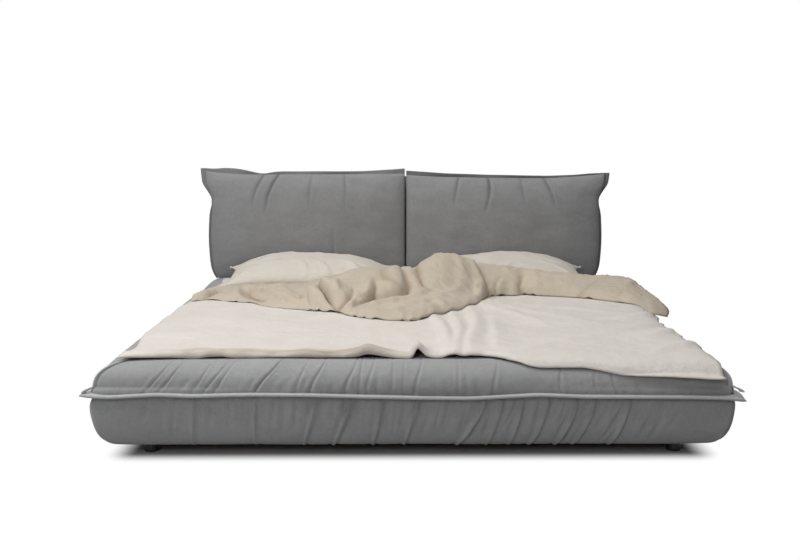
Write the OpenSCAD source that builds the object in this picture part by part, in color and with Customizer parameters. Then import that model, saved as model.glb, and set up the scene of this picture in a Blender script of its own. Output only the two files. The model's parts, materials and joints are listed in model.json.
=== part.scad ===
/* [Bed size] */
// Width of the mattress
mattress_w = 1800; // [1600:10:2000]
// Length of the mattress
mattress_l = 2000; // [1900:10:2100]
// Thickness of the mattress
mattress_t = 185; // [165:1:205]
// Thickness of the bolsters round the base, with the board behind them
roll_w = 190; // [175:1:215]
// Height of the underside of the bolsters above the floor
base_bottom = 35; // [30:1:40]
// Height of the middle of the seam flange above the floor
seam_z = 222; // [200:1:235]
// How far the seam flanges stand out from the fabric
flange_w = 25; // [18:1:34]
// Thickness of a seam flange
flange_t = 10; // [8:1:12]

/* [Headboard] */
// Height of the headboard cushions without their flanges
head_cushion_h = 575; // [480:1:640]
// Thickness of the headboard cushions
head_cushion_t = 148; // [125:1:150]
// Gap between the two headboard cushions
head_gap = 8; // [4:1:16]
// How far the headboard flanges stand out
head_flange_w = 24; // [18:1:30]

/* [Frame] */
// Thickness of the wooden boards
board_t = 28; // [22:1:32]
// Thickness of the planks under the bolsters
plank_t = 18; // [15:1:21]
// Height of the corner legs
leg_h = 48; // [44:1:52]
// Diameter of the corner legs at the top
leg_d = 54; // [44:1:56]
// Width of a slat
slat_w = 90; // [70:1:100]
// Thickness of a slat
slat_t = 18; // [15:1:22]
// Width of the centre beam
beam_w = 60; // [50:1:80]
// Height of the centre beam
beam_h = 62; // [55:1:66]

/* [Bedding] */
// Length of a pillow across the bed
pillow_l = 840; // [780:1:850]
// Depth of a pillow
pillow_d = 400; // [360:1:410]
// Thickness of a pillow
pillow_t = 150; // [120:1:170]
// Thickness of the duvet where it lies in one layer
duvet_t = 20; // [16:1:26]

/* [Hidden] */
$fn = 32;

// Clearances
rail_gap = 10;
soft_gap = 0.4;
notch_gap = 1;
bore_gap = 0.05;
mitre_gap = 6;
corner_flange_t = 8;

// Thin headboard layers, front to back
batten_t = 115;
batten_h = 44;
front_panel_t = 9;
upright_t = 28;
back_panel_t = 6;
cover_t = 6;

// Inner faces of the boards, measured from the middle of the bed
in_x = mattress_w / 2 + rail_gap;
well_l = mattress_l + 2 * rail_gap;
head_stack = board_t + batten_t + front_panel_t + upright_t + back_panel_t + cover_t;
overall_l = flange_w + roll_w + well_l + head_stack;
front_y = -overall_l / 2;
foot_y = front_y + flange_w + roll_w;
head_y = foot_y + well_l;
batten_y = head_y + board_t;
panel_y = batten_y + batten_t;
upright_y = panel_y + front_panel_t;
back_panel_y = upright_y + upright_t;
cover_y = back_panel_y + back_panel_t;
out_x = in_x + roll_w;
plank_w = roll_w - 85;

// Heights
board_drop = 40;
lip_rise = 15;
plank_z = leg_h;
board_z = plank_z + plank_t;
slat_top = 140;
mattress_top = slat_top + mattress_t;
base_top = mattress_top;
board_top = base_top - board_drop;
lip_z = board_top + lip_rise;
slat_z = slat_top - slat_t;
notch_depth = 10;
support_top = slat_z + notch_depth;

// Soft forms
crown_u = 60;
tuck_u = plank_w + 7;
crown_power = 2.2;
shoulder_power = 2.9;
tuck_power = 2.4;
top_steps = 6;
low_steps = 6;
lip_steps = 3;

// Frame fittings
slat_count = 13;
slat_margin = 60;
slat_pitch = (mattress_l - slat_w - 2 * slat_margin) / (slat_count - 1);
ledge_w = 30;
ledge_h = 50;
ledge_end = 60;
bracket_leg = 60;
bracket_t = 3;
bracket_h = 60;
bracket_rise = 4;
bracket_z = board_z + bracket_rise;
bolt_d = 8;
bolt_head_d = 14;
bolt_head_h = 4;
stud_d = 10;
hanger_t = 3;
hanger_h = 46;
centre_leg_d = 45;
foot_screw_d = 12;
foot_plate_d = 40;
foot_plate_t = 6;

// Headboard places
upright_w = 90;
upright_side_x = in_x - 60;
cover_in = 28;
top_rail_h = 40;
cushion_lift = 8;
cover_drop = 12;
cushion_bottom = mattress_top + cushion_lift;
cushion_top = cushion_bottom + head_cushion_h;
cover_top = cushion_top - cover_drop;
cushion_x1 = out_x - head_flange_w;
cover_x = cushion_x1 - cover_in;
seam_back = 50;
head_seam_y = panel_y - seam_back;
head_crown = head_cushion_t - seam_back - flange_t / 2;
head_bolt_d = 8;
head_bolt_z = [120, 240];

// The sheet that a solid with two matching grids of points makes
function grid_index(n, i, j) = j * n + i;

function grid_faces(n, m, base, flip) = [
  for (j = [0 : m - 2])
    for (i = [0 : n - 2])
      for (half = [0, 1])
        let (
          a = base + grid_index(n, i, j),
          b = base + grid_index(n, i + 1, j),
          c = base + grid_index(n, i + 1, j + 1),
          d = base + grid_index(n, i, j + 1),
          tri = half == 0 ? [a, b, c] : [a, c, d]
        )
        flip ? [tri[2], tri[1], tri[0]] : tri
];

function rim(n, m) = concat(
  [for (i = [0 : n - 2]) grid_index(n, i, 0)],
  [for (j = [0 : m - 2]) grid_index(n, n - 1, j)],
  [for (i = [n - 1 : -1 : 1]) grid_index(n, i, m - 1)],
  [for (j = [m - 1 : -1 : 1]) grid_index(n, 0, j)]
);

// A closed solid between an upper and a lower grid of points
module two_sided(upper, lower) {
  m = len(upper);
  n = len(upper[0]);
  size = n * m;
  edge = rim(n, m);
  count = len(edge);
  walls = [
    for (k = [0 : count - 1])
      for (half = [0, 1])
        let (
          a = edge[k],
          b = edge[(k + 1) % count]
        )
        half == 0 ? [a, b + size, a + size] : [a, b, b + size]
  ];
  polyhedron(
    points = concat([for (row = upper) each row], [for (row = lower) each row]),
    faces = concat(
      grid_faces(n, m, 0, true),
      grid_faces(n, m, size, false),
      walls
    ),
    convexity = 6
  );
}

// A closed solid through rings whose first points run outside and last points inside
module band_loft(rings, outer, inner) {
  n = outer + inner;
  last = (len(rings) - 1) * n;
  function mate(i) = n - 1 - round(i * (inner - 1) / (outer - 1));
  sides = [
    for (k = [0 : len(rings) - 2])
      for (i = [0 : n - 1])
        for (half = [0, 1])
          let (
            a = k * n + i,
            b = k * n + (i + 1) % n,
            c = b + n,
            d = a + n
          )
          half == 0 ? [a, b, c] : [a, c, d]
  ];
  cap = [
    for (i = [0 : outer - 2])
      for (tri = concat(
        [[i, mate(i), i + 1]],
        mate(i) == mate(i + 1) ? [] : [[i + 1, mate(i), mate(i + 1)]]
      ))
        tri
  ];
  polyhedron(
    points = [for (ring = rings) each ring],
    faces = concat(
      sides,
      cap,
      [for (tri = cap) [tri[2] + last, tri[1] + last, tri[0] + last]]
    ),
    convexity = 6
  );
}

// Numbers from -1 to 1 that lie closer together near both ends
function spread(count) = [for (i = [0 : count]) sin(90 * (2 * i / count - 1))];

function bell(x, width) = exp(-pow(x / width, 2));

function bulge(c, power) = pow(max(0, 1 - pow(min(1, abs(c)), power)), 1 / power);

// Bolster section: u runs outward from the inner face of the board, z runs up
function roll_top_z(u, lift = 0, drawn = 0) =
  let (top = base_top + lift, low = seam_z + flange_t / 2)
  u < crown_u
    ? lip_z + (top - lip_z) * bulge((crown_u - max(0, u)) / crown_u, crown_power)
    : low + (top - low) * bulge((u - crown_u) / (roll_w - drawn - crown_u), shoulder_power);

function roll_outside(lift, drawn) =
  let (
    out = roll_w - drawn,
    high = seam_z + flange_t / 2,
    low = seam_z - flange_t / 2
  )
  concat(
    [for (i = [0 : lip_steps - 1])
      let (a = 90 * i / lip_steps)
      [
        crown_u - crown_u * pow(cos(a), 2 / crown_power),
        lip_z + (base_top + lift - lip_z) * pow(sin(a), 2 / crown_power)
      ]
    ],
    [for (i = [0 : top_steps])
      let (a = 90 - 90 * i / top_steps)
      [
        crown_u + (out - crown_u) * pow(cos(a), 2 / shoulder_power),
        high + (base_top + lift - high) * pow(sin(a), 2 / shoulder_power)
      ]
    ],
    [for (i = [0 : low_steps])
      let (a = 90 * i / low_steps)
      [
        tuck_u + (out - tuck_u) * pow(cos(a), 2 / tuck_power),
        low - (low - base_bottom) * pow(sin(a), 2 / tuck_power)
      ]
    ]
  );

roll_inside = [
  [plank_w + 1, base_bottom],
  [plank_w + 1, board_z],
  [board_t, board_z],
  [board_t, board_top],
  [0, board_top]
];

outer_count = lip_steps + top_steps + low_steps + 2;
inner_count = len(roll_inside);

function roll_section(lift, drawn) = concat(roll_outside(lift, drawn), roll_inside);

// How far the fabric draws in beside a corner, and how it swells between gathers
corner_draw_in = 8;
corner_draw_reach = 80;
corner_sag = 9;
corner_sag_reach = 120;
gather_swell = 2.6;

// Lengths from swell to swell, and where the first lies, outward and upward
front_out_step = 245;
front_up_step = 320;
front_up_start = 60;
side_out_step = 300;
side_up_step = 410;
side_up_start = 90;

function corner_draw(distance) = corner_draw_in * bell(distance, corner_draw_reach);

function corner_drop(distance) = corner_sag * bell(distance, corner_sag_reach);

function gather(distance, step) = gather_swell * sin(360 * distance / step);

front_half = in_x + roll_w;
front_stations = 32;
side_stations = 15;

function front_drawn(t) = corner_draw((1 - abs(t)) * front_half) - gather(t * front_half, front_out_step);

function front_lift(t) = -corner_drop((1 - abs(t)) * front_half)
  + gather(t * front_half + front_up_start, front_up_step);

// Places from -1 to 1, set closer together towards both ends
function end_weighted(count, angle) = [
  for (i = [0 : count]) sin(angle * (2 * i / count - 1)) / sin(angle)
];

front_places = end_weighted(front_stations, 86);

front_rings = [
  for (t = front_places)
    [for (p = roll_section(front_lift(t), front_drawn(t)))
      [t * (in_x + p[0] - mitre_gap), foot_y - p[0], p[1]]
    ]
];

module base_cushion_front() {
  color("#7f7f7f") band_loft(front_rings, outer_count, inner_count);
}

// The side bolsters run from the front mitre to the headboard panel
side_run = panel_y - foot_y + roll_w;

function side_y(t, u) = foot_y - u + mitre_gap + t * (panel_y - soft_gap - foot_y + u - mitre_gap);

// The rear end is stuffed hard: it swells a little before it draws in at the headboard
rear_draw_in = 16;
rear_draw_reach = 60;
rear_swell = 9;
rear_swell_place = 130;
rear_swell_reach = 80;
rear_sag_reach = 45;

function side_drawn(t) = corner_draw(t * side_run) - gather(t * side_run, side_out_step)
  + rear_draw_in * bell((1 - t) * side_run, rear_draw_reach);

function side_lift(t) = -corner_drop(t * side_run) + gather(t * side_run + side_up_start, side_up_step)
  + rear_swell * bell((1 - t) * side_run - rear_swell_place, rear_swell_reach)
  - rear_swell * bell((1 - t) * side_run, rear_sag_reach);

side_places = [for (s = end_weighted(side_stations, 84)) (s + 1) / 2];

side_rings = [
  for (t = side_places)
    [for (p = roll_section(side_lift(t), side_drawn(t)))
      [in_x + p[0], side_y(t, p[0]), p[1]]
    ]
];

module base_cushion_right() {
  color("#7a7a7a") band_loft(side_rings, outer_count, inner_count);
}

module base_cushion_left() {
  mirror([1, 0, 0]) base_cushion_right();
}

// Seam flanges lie against the flat band of the bolsters at seam height
seam_gap = 0.3;
wave_depth = 2;
wave_length = 510;

function flange_wave(distance) = wave_depth * sin(360 * distance / wave_length);

function flange_reach_out(drawn, distance) = roll_w - 0.8 * drawn + flange_w + flange_wave(distance);

front_flange_inner = [
  for (t = front_places)
    let (u = roll_w - front_drawn(t))
    [t * (in_x + u - mitre_gap), foot_y - u]
];

front_flange_ends = [
  for (side = [-1, 1])
    let (u = roll_w - front_drawn(side))
    [side * (in_x + u - seam_gap), foot_y - u]
];

front_flange_outer = [
  for (t = front_places)
    let (u = flange_reach_out(front_drawn(t), (1 - abs(t)) * front_half))
    [t * (in_x + u - seam_gap), foot_y - u]
];

function backwards(list) = [for (i = [len(list) - 1 : -1 : 0]) list[i]];

module flange_strip(inner_line, outer_line) {
  translate([0, 0, seam_z - flange_t / 2])
    linear_extrude(flange_t)
      polygon(concat(inner_line, backwards(outer_line)));
}

module base_flange_front() {
  color("#909090") flange_strip(
    concat([front_flange_ends[0]], front_flange_inner, [front_flange_ends[1]]),
    front_flange_outer
  );
}

side_flange_end_u = roll_w - side_drawn(0);

side_flange_inner = concat(
  [[in_x + side_flange_end_u, foot_y - side_flange_end_u + seam_gap]],
  [for (t = side_places)
    let (u = roll_w - side_drawn(t))
    [in_x + u, side_y(t, u)]
  ]
);

side_flange_outer = [
  for (t = side_places)
    let (u = flange_reach_out(side_drawn(t), t * side_run))
    [in_x + u, t == 0 ? foot_y - u + seam_gap : side_y(t, u)]
];

module base_flange_right() {
  color("#8c8c8c") flange_strip(side_flange_inner, side_flange_outer);
}

module base_flange_left() {
  mirror([1, 0, 0]) base_flange_right();
}

// The mitre seam stands in the upright plane between two bolsters
mitre_grip = 14;
mitre_start = 72;
mitre_end = 12;
mitre_out = 16;
mitre_lift = 2;

function mitre_line(grow) =
  let (
    out = roll_w - corner_draw(0) + grow,
    high = seam_z + flange_t / 2,
    top = base_top - corner_sag + grow * 0.6
  )
  [for (i = [0 : top_steps])
    let (a = mitre_start - (mitre_start - mitre_end) * i / top_steps)
    [
      crown_u + (out - crown_u) * pow(cos(a), 2 / shoulder_power),
      high + (top - high) * pow(sin(a), 2 / shoulder_power)
    ]
  ];

mitre_foot = seam_z + flange_t / 2 + mitre_lift;

module mitre_plate() {
  outer_line = mitre_line(mitre_out);
  inner_line = mitre_line(-mitre_grip);
  points = concat(
    [for (p = outer_line) [p[0], max(mitre_foot, p[1])]],
    [[roll_w, mitre_foot], [roll_w - corner_draw(0) - mitre_grip, mitre_foot]],
    backwards(inner_line)
  );
  translate([in_x, foot_y, 0])
    rotate([0, 0, -45])
      rotate([90, 0, 0])
        translate([0, 0, -corner_flange_t / 2])
          linear_extrude(corner_flange_t)
            polygon([for (p = points) [p[0] * sqrt(2), p[1]]]);
}

module corner_flange_right() {
  color("#939393") mitre_plate();
}

module corner_flange_left() {
  mirror([1, 0, 0]) corner_flange_right();
}

// Boards and planks
module board(size, place) {
  color("#c9a877") translate(place) cube(size);
}

board_h = board_top - board_z;

module bolt_bores_x(x, y) {
  for (dz = [-1, 1])
    translate([x, y, bracket_z + bracket_h / 2 + dz * bracket_h / 4])
      rotate([0, 90, 0])
        cylinder(d = bolt_d + 2 * bore_gap, h = 2 * bolt_reach, center = true);
}

module bolt_bores_y(x, y) {
  for (dz = [-1, 1])
    translate([x, y, bracket_z + bracket_h / 2 + dz * bracket_h / 4])
      rotate([90, 0, 0])
        cylinder(d = bolt_d + 2 * bore_gap, h = 2 * bolt_reach, center = true);
}

bolt_reach = 22;
bolt_in = bracket_leg * 0.6;

module foot_board() {
  color("#c9a877") difference() {
    translate([-in_x - board_t, foot_y - board_t, board_z])
      cube([2 * (in_x + board_t), board_t, board_h]);
    for (side = [-1, 1])
      bolt_bores_y(side * (in_x - bolt_in), foot_y);
  }
}

module head_rail() {
  color("#c9a877") difference() {
    translate([-in_x, head_y, board_z])
      cube([2 * in_x, board_t, board_h]);
    for (side = [-1, 1])
      bolt_bores_y(side * (in_x - bolt_in), head_y);
    head_bores(batten_y - head_bolt_reach - 2, head_bolt_reach + 2);
  }
}

module side_board_right() {
  color("#c9a877") difference() {
    translate([in_x, foot_y, board_z])
      cube([board_t, panel_y - foot_y, board_h]);
    bolt_bores_x(in_x, foot_y + bolt_in);
    bolt_bores_x(in_x, head_y - bolt_in);
  }
}

module side_board_left() {
  mirror([1, 0, 0]) side_board_right();
}

// Legs stand under the planks on a threaded stud
leg_u = plank_w - leg_d / 2;
leg_end = 101;
leg_front_x = in_x + plank_w - leg_end;
leg_rear_u = plank_w / 2;
leg_rear_in = 60;
leg_rear_y = head_y - leg_rear_in;
stud_h = plank_t - 2;

module stud_bore() {
  translate([0, 0, plank_z - 1])
    cylinder(d = stud_d + 2 * bore_gap, h = stud_h + 1 + 1);
}

module foot_plank() {
  color("#b8955f") difference() {
    translate([-in_x - plank_w, foot_y - plank_w, plank_z])
      cube([2 * (in_x + plank_w), plank_w, plank_t]);
    for (side = [-1, 1])
      translate([side * leg_front_x, foot_y - leg_u, 0]) stud_bore();
  }
}

module side_plank_right() {
  color("#b8955f") difference() {
    translate([in_x, foot_y, plank_z])
      cube([plank_w, panel_y - foot_y, plank_t]);
    translate([in_x + leg_rear_u, leg_rear_y, 0]) stud_bore();
  }
}

module side_plank_left() {
  mirror([1, 0, 0]) side_plank_right();
}

leg_taper = 3;
leg_chamfer = 2;

module corner_leg() {
  rotate_extrude()
    polygon([
      [0, 0],
      [leg_d / 2 - leg_taper - leg_chamfer, 0],
      [leg_d / 2 - leg_taper, leg_chamfer],
      [leg_d / 2, leg_h - leg_chamfer],
      [leg_d / 2 - leg_chamfer, leg_h],
      [stud_d / 2, leg_h],
      [stud_d / 2, leg_h + stud_h],
      [0, leg_h + stud_h]
    ]);
}

module leg_at(x, y) {
  color("#101010") translate([x, y, 0]) corner_leg();
}

// Slats lie in notches of two ledges and the centre beam
function slat_y(i) = foot_y + rail_gap + slat_margin + slat_w / 2 + i * slat_pitch;

slat_side_gap = 3;
slat_chamfer = 2;
slat_l = 2 * (in_x - slat_side_gap);

module slat(i) {
  color("#d8bf92") translate([0, slat_y(i), slat_z])
    rotate([90, 0, 0])
      linear_extrude(slat_w, center = true)
        polygon([
          [-slat_l / 2, slat_chamfer],
          [-slat_l / 2 + slat_chamfer, 0],
          [slat_l / 2 - slat_chamfer, 0],
          [slat_l / 2, slat_chamfer],
          [slat_l / 2, slat_t - slat_chamfer],
          [slat_l / 2 - slat_chamfer, slat_t],
          [-slat_l / 2 + slat_chamfer, slat_t],
          [-slat_l / 2, slat_t - slat_chamfer]
        ]);
}

module notches(x, w) {
  for (i = [0 : slat_count - 1])
    translate([x - 1, slat_y(i) - slat_w / 2 - notch_gap, slat_z])
      cube([w + 2, slat_w + 2 * notch_gap, notch_depth + 1]);
}

module slat_ledge_right() {
  color("#b8955f") difference() {
    translate([in_x - ledge_w, foot_y + ledge_end, support_top - ledge_h])
      cube([ledge_w, well_l - 2 * ledge_end, ledge_h]);
    notches(in_x - ledge_w, ledge_w);
  }
}

module slat_ledge_left() {
  mirror([1, 0, 0]) slat_ledge_right();
}

beam_z = support_top - beam_h;
beam_end = hanger_t;

module centre_beam() {
  color("#b8955f") difference() {
    translate([-beam_w / 2, foot_y + beam_end, beam_z])
      cube([beam_w, well_l - 2 * beam_end, beam_h]);
    notches(-beam_w / 2, beam_w);
    translate([0, 0, beam_z - 1])
      cylinder(d = centre_leg_stud + 2 * bore_gap, h = centre_stud_h + 2);
  }
}

// A hanger is a bent steel cup, screwed to the board, that holds the beam's end
hanger_reach = 40;

module hanger() {
  color("#8d9094") difference() {
    translate([-beam_w / 2 - hanger_t, 0, beam_z - hanger_t])
      cube([beam_w + 2 * hanger_t, hanger_reach, hanger_h + hanger_t]);
    translate([-beam_w / 2, hanger_t, beam_z])
      cube([beam_w, hanger_reach, hanger_h + 1]);
  }
}

module beam_hanger_foot() {
  translate([0, foot_y, 0]) hanger();
}

module beam_hanger_head() {
  translate([0, head_y, 0]) mirror([0, 1, 0]) hanger();
}

// The centre leg is a tube with a nut at its foot for the screw foot
centre_leg_stud = 10;
centre_stud_h = 24;
centre_leg_base = 20;
foot_screw_l = 27;
foot_travel = 14;
edge_chamfer = 1;

module centre_leg() {
  color("#2a2a2a") difference() {
    union() {
      translate([0, 0, centre_leg_base])
        cylinder(d = centre_leg_d, h = beam_z - centre_leg_base);
      translate([0, 0, beam_z])
        cylinder(d = centre_leg_stud, h = centre_stud_h);
    }
    translate([0, 0, centre_leg_base - 1])
      cylinder(d = foot_screw_d + 2 * bore_gap, h = foot_screw_l + foot_travel + 1);
  }
}

module centre_foot() {
  color("#181818") rotate_extrude()
    polygon([
      [0, 0],
      [foot_plate_d / 2 - edge_chamfer, 0],
      [foot_plate_d / 2, edge_chamfer],
      [foot_plate_d / 2, foot_plate_t],
      [foot_screw_d / 2, foot_plate_t],
      [foot_screw_d / 2, centre_leg_base + foot_screw_l - edge_chamfer],
      [foot_screw_d / 2 - edge_chamfer, centre_leg_base + foot_screw_l],
      [0, centre_leg_base + foot_screw_l]
    ]);
}

// Steel angles hold the four corners of the frame
module corner_bracket() {
  difference() {
    translate([0, 0, bracket_z])
      linear_extrude(bracket_h)
        polygon([
          [0, 0],
          [bracket_leg, 0],
          [bracket_leg, bracket_t],
          [bracket_t, bracket_t],
          [bracket_t, bracket_leg],
          [0, bracket_leg]
        ]);
    for (dz = [-1, 1])
      translate([0, 0, bracket_z + bracket_h / 2 + dz * bracket_h / 4]) {
        translate([bolt_in, 0, 0]) rotate([90, 0, 0])
          cylinder(d = bolt_d + 2 * bore_gap, h = 3 * bracket_t, center = true);
        translate([0, bolt_in, 0]) rotate([0, 90, 0])
          cylinder(d = bolt_d + 2 * bore_gap, h = 3 * bracket_t, center = true);
      }
  }
}

module at_corners() {
  for (side = [0, 1]) mirror([side, 0, 0]) {
    translate([in_x, foot_y, 0]) mirror([1, 0, 0]) children();
    translate([in_x, head_y, 0]) mirror([1, 0, 0]) mirror([0, 1, 0]) children();
  }
}

module corner_brackets() {
  color("#8d9094") at_corners() corner_bracket();
}

// A bolt lies along +Z with its head at the bottom
module bolt(d, head_d, head_h, reach) {
  rotate_extrude()
    polygon([
      [0, -head_h],
      [head_d / 2 - edge_chamfer, -head_h],
      [head_d / 2, edge_chamfer - head_h],
      [head_d / 2, 0],
      [d / 2, 0],
      [d / 2, reach - edge_chamfer],
      [d / 2 - edge_chamfer, reach],
      [0, reach]
    ]);
}

module corner_bolts() {
  for (dz = [-1, 1])
    translate([0, 0, bracket_z + bracket_h / 2 + dz * bracket_h / 4]) {
      translate([bolt_in, bracket_t, 0]) rotate([90, 0, 0])
        bolt(bolt_d, bolt_head_d, bolt_head_h, bolt_reach);
      translate([bracket_t, bolt_in, 0]) rotate([0, -90, 0])
        bolt(bolt_d, bolt_head_d, bolt_head_h, bolt_reach);
    }
}

module frame_bolts() {
  color("#5f6266") at_corners() corner_bolts();
}

// Headboard: a wooden frame with a panel each side, in a fabric cover
head_bolt_reach = 18;
head_bolt_x = [-upright_side_x, 0, upright_side_x];
head_seat = 5;
head_bolt_y = back_panel_y - head_seat;

module head_bores(y, length) {
  for (x = head_bolt_x)
    for (z = head_bolt_z)
      translate([x, y, z])
        rotate([-90, 0, 0])
          cylinder(d = head_bolt_d + 2 * bore_gap, h = length + 1);
}

module batten(z) {
  color("#c2a06c") difference() {
    translate([-in_x, batten_y, z - batten_h / 2])
      cube([2 * in_x, batten_t, batten_h]);
    head_bores(batten_y - 1, batten_t + 2);
  }
}

panel_z = board_z;
panel_top = cover_top - cover_t;
panel_x = cover_x - cover_t;

module headboard_front_panel() {
  color("#d2b483") difference() {
    translate([-panel_x, panel_y, panel_z])
      cube([2 * panel_x, front_panel_t, panel_top - panel_z]);
    head_bores(panel_y - 1, front_panel_t + 2);
  }
}

module upright(x) {
  color("#c9a877") difference() {
    translate([x - upright_w / 2, upright_y, panel_z])
      cube([upright_w, upright_t, panel_top - top_rail_h - panel_z]);
    head_bores(upright_y - 1, upright_t + 2);
    for (z = head_bolt_z)
      translate([x, head_bolt_y, z])
        rotate([-90, 0, 0])
          cylinder(d = bolt_head_d + 1, h = head_seat + 1);
  }
}

module headboard_top_rail() {
  color("#c2a06c")
    translate([-panel_x, upright_y, panel_top - top_rail_h])
      cube([2 * panel_x, upright_t, top_rail_h]);
}

module headboard_back_panel() {
  color("#d8bf92")
    translate([-panel_x, back_panel_y, panel_z])
      cube([2 * panel_x, back_panel_t, panel_top - panel_z]);
}

module rounded_top(x, bottom, top, r) {
  intersection() {
    translate([-x, bottom]) square([2 * x, top - bottom]);
    union() {
      translate([-x, bottom]) square([2 * x, top - bottom - r]);
      translate([-x + r, bottom]) square([2 * (x - r), top - bottom]);
      for (side = [-1, 1])
        translate([side * (x - r), top - r]) circle(r = r);
    }
  }
}

module headboard_cover() {
  color("#757575") difference() {
    translate([0, cover_y + cover_t, 0])
      rotate([90, 0, 0])
        linear_extrude(cover_y + cover_t - panel_y)
          rounded_top(cover_x, panel_z - cover_t, cover_top, cover_t);
    translate([-panel_x, panel_y - 1, panel_z])
      cube([2 * panel_x, cover_y - panel_y + 1, panel_top - panel_z]);
  }
}

module headboard_bolts() {
  color("#5f6266")
    for (x = head_bolt_x)
      for (z = head_bolt_z)
        translate([x, head_bolt_y, z])
          rotate([90, 0, 0])
            bolt(head_bolt_d, bolt_head_d, bolt_head_h, head_bolt_y - batten_y + head_bolt_reach);
}

// Headboard cushions: s runs outward from the middle of the bed, t runs up
cushion_inner_x = head_gap / 2;
cushion_corner_draw = 34;
cushion_waist = 5;
cushion_gather_depth = 3.5;
cushion_half_w = (cushion_x1 - cushion_inner_x) / 2;
cushion_mid_x = (cushion_x1 + cushion_inner_x) / 2;
cushion_half_h = head_cushion_h / 2;
cushion_mid_z = cushion_bottom + cushion_half_h;
cushion_columns = spread(16);
cushion_rows = spread(10);

function cushion_edge(s, t) =
  let (
    low_corner = s > 0 && t < 0 ? cushion_corner_draw * pow(s, 6) * pow(-t, 5) : 0,
    waist = cushion_waist * (1 - pow(s, 2)) * pow(t, 3)
  )
  [
    cushion_mid_x + cushion_half_w * s - low_corner
      - (s > 0 ? 6 * pow(s, 4) * bell(t - 0.72, 0.3) : 0),
    cushion_mid_z + cushion_half_h * t + low_corner * 0.9 - waist
  ];

function cushion_puff(s, t) = bulge(s, 3.4) * bulge(t, 2.7);

function cushion_gather(s, t) =
  cushion_gather_depth * sin(s * 560 + 40 * t) * bell(t - 0.95, 0.55) * (1 - pow(s, 4));

function cushion_front(s, t) =
  let (p = cushion_edge(s, t), puff = cushion_puff(s, t))
  [
    p[0],
    head_seam_y - flange_t / 2
      - (head_crown * (0.86 + 0.14 * (1 - s * s) * (1 - t * t)) + cushion_gather(s, t)) * puff,
    p[1]
  ];

function cushion_back(s, t) =
  let (p = cushion_edge(s, t))
  [
    p[0],
    min(
      panel_y - soft_gap / 2,
      head_seam_y + flange_t / 2 + (seam_back - flange_t / 2) * 1.25 * cushion_puff(s, t)
    ),
    p[1]
  ];

module headboard_cushion_right() {
  color("#7d7d7d") two_sided(
    [for (t = cushion_rows) [for (s = cushion_columns) cushion_front(s, t)]],
    [for (t = cushion_rows) [for (s = cushion_columns) cushion_back(s, t)]]
  );
}

module headboard_cushion_left() {
  mirror([1, 0, 0]) headboard_cushion_right();
}

head_ear = 56;
head_ear_rise = 22;

cushion_rim = concat(
  [for (s = cushion_columns) cushion_edge(s, -1)],
  [for (i = [1 : len(cushion_rows) - 1]) cushion_edge(1, cushion_rows[i])],
  [for (i = [len(cushion_columns) - 2 : -1 : 0]) cushion_edge(cushion_columns[i], 1)]
);

// The flange runs down the outer side, along the top and along the bottom
function flange_reach(s, t, side) =
  side
    ? head_flange_w - 5 * bell(t - 0.6, 0.2) + (head_ear - head_flange_w) * pow(max(0, t), 14)
    : head_flange_w + 1.5 * sin(s * 700);

head_flange_outer = concat(
  [for (s = cushion_columns)
    let (p = cushion_edge(s, -1))
    [p[0], p[1] - 3]
  ],
  [for (i = [1 : len(cushion_rows) - 1])
    let (t = cushion_rows[i], p = cushion_edge(1, t))
    [p[0] + flange_reach(1, t, true), p[1] + (t > 0 ? 1.2 * head_ear_rise * pow(t, 14) : 0)]
  ],
  [for (i = [len(cushion_columns) - 2 : -1 : 0])
    let (s = cushion_columns[i], p = cushion_edge(s, 1))
    [p[0], p[1] + flange_reach(s, 1, false) + head_ear_rise * pow(max(0, s), 16)]
  ]
);

module headboard_flange_right() {
  color("#8a8a8a")
    translate([0, head_seam_y + flange_t / 2, 0])
      rotate([90, 0, 0])
        linear_extrude(flange_t)
          polygon(concat(cushion_rim, backwards(head_flange_outer)));
}

module headboard_flange_left() {
  mirror([1, 0, 0]) headboard_flange_right();
}

// Mattress in its fitted sheet
mattress_y = foot_y + rail_gap + mattress_l / 2;
mattress_edge = 26;
mattress_waist = 4;

function mattress_x(s, t) = s * mattress_w / 2 - mattress_waist * s * (1 - t * t);

function mattress_skin(s, t, up) =
  let (
    dx = mattress_edge / (mattress_w / 2),
    dy = mattress_edge / (mattress_l / 2),
    round_x = abs(s) > 1 - dx ? (abs(s) - 1 + dx) / dx : 0,
    round_y = abs(t) > 1 - dy ? (abs(t) - 1 + dy) / dy : 0,
    drop = mattress_edge * (1 - sqrt(max(0, 1 - pow(min(1, max(round_x, round_y)), 2))))
  )
  [
    mattress_x(s, t),
    mattress_y + t * mattress_l / 2,
    up ? mattress_top - drop : slat_top + soft_gap + drop
  ];

mattress_steps = concat(
  [-1, -1 + 0.004, -1 + 0.011, -1 + 0.027],
  [for (i = [-3 : 3]) i * 0.3],
  [1 - 0.027, 1 - 0.011, 1 - 0.004, 1]
);

module mattress() {
  color("#e4e1da") two_sided(
    [for (t = mattress_steps) [for (s = mattress_steps) mattress_skin(s, t, true)]],
    [for (t = mattress_steps) [for (s = mattress_steps) mattress_skin(s, t, false)]]
  );
}

// Pillows lean on the headboard cushions
pillow_inner_x = 100;
pillow_rear_gap = 5;
pillow_mid_x = pillow_inner_x + pillow_l / 2;
pillow_rear_y = head_seam_y - flange_t / 2 - head_crown - pillow_rear_gap;
pillow_mid_y = pillow_rear_y - pillow_d / 2;
pillow_columns = spread(13);
pillow_rows = spread(8);
pillow_seam = 4;
pillow_front_rise = 46;
pillow_rear_rise = 132;

function pillow_mid_z(t) =
  mattress_top + pillow_front_rise + (pillow_rear_rise - pillow_front_rise) * (1 + t) / 2;

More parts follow.
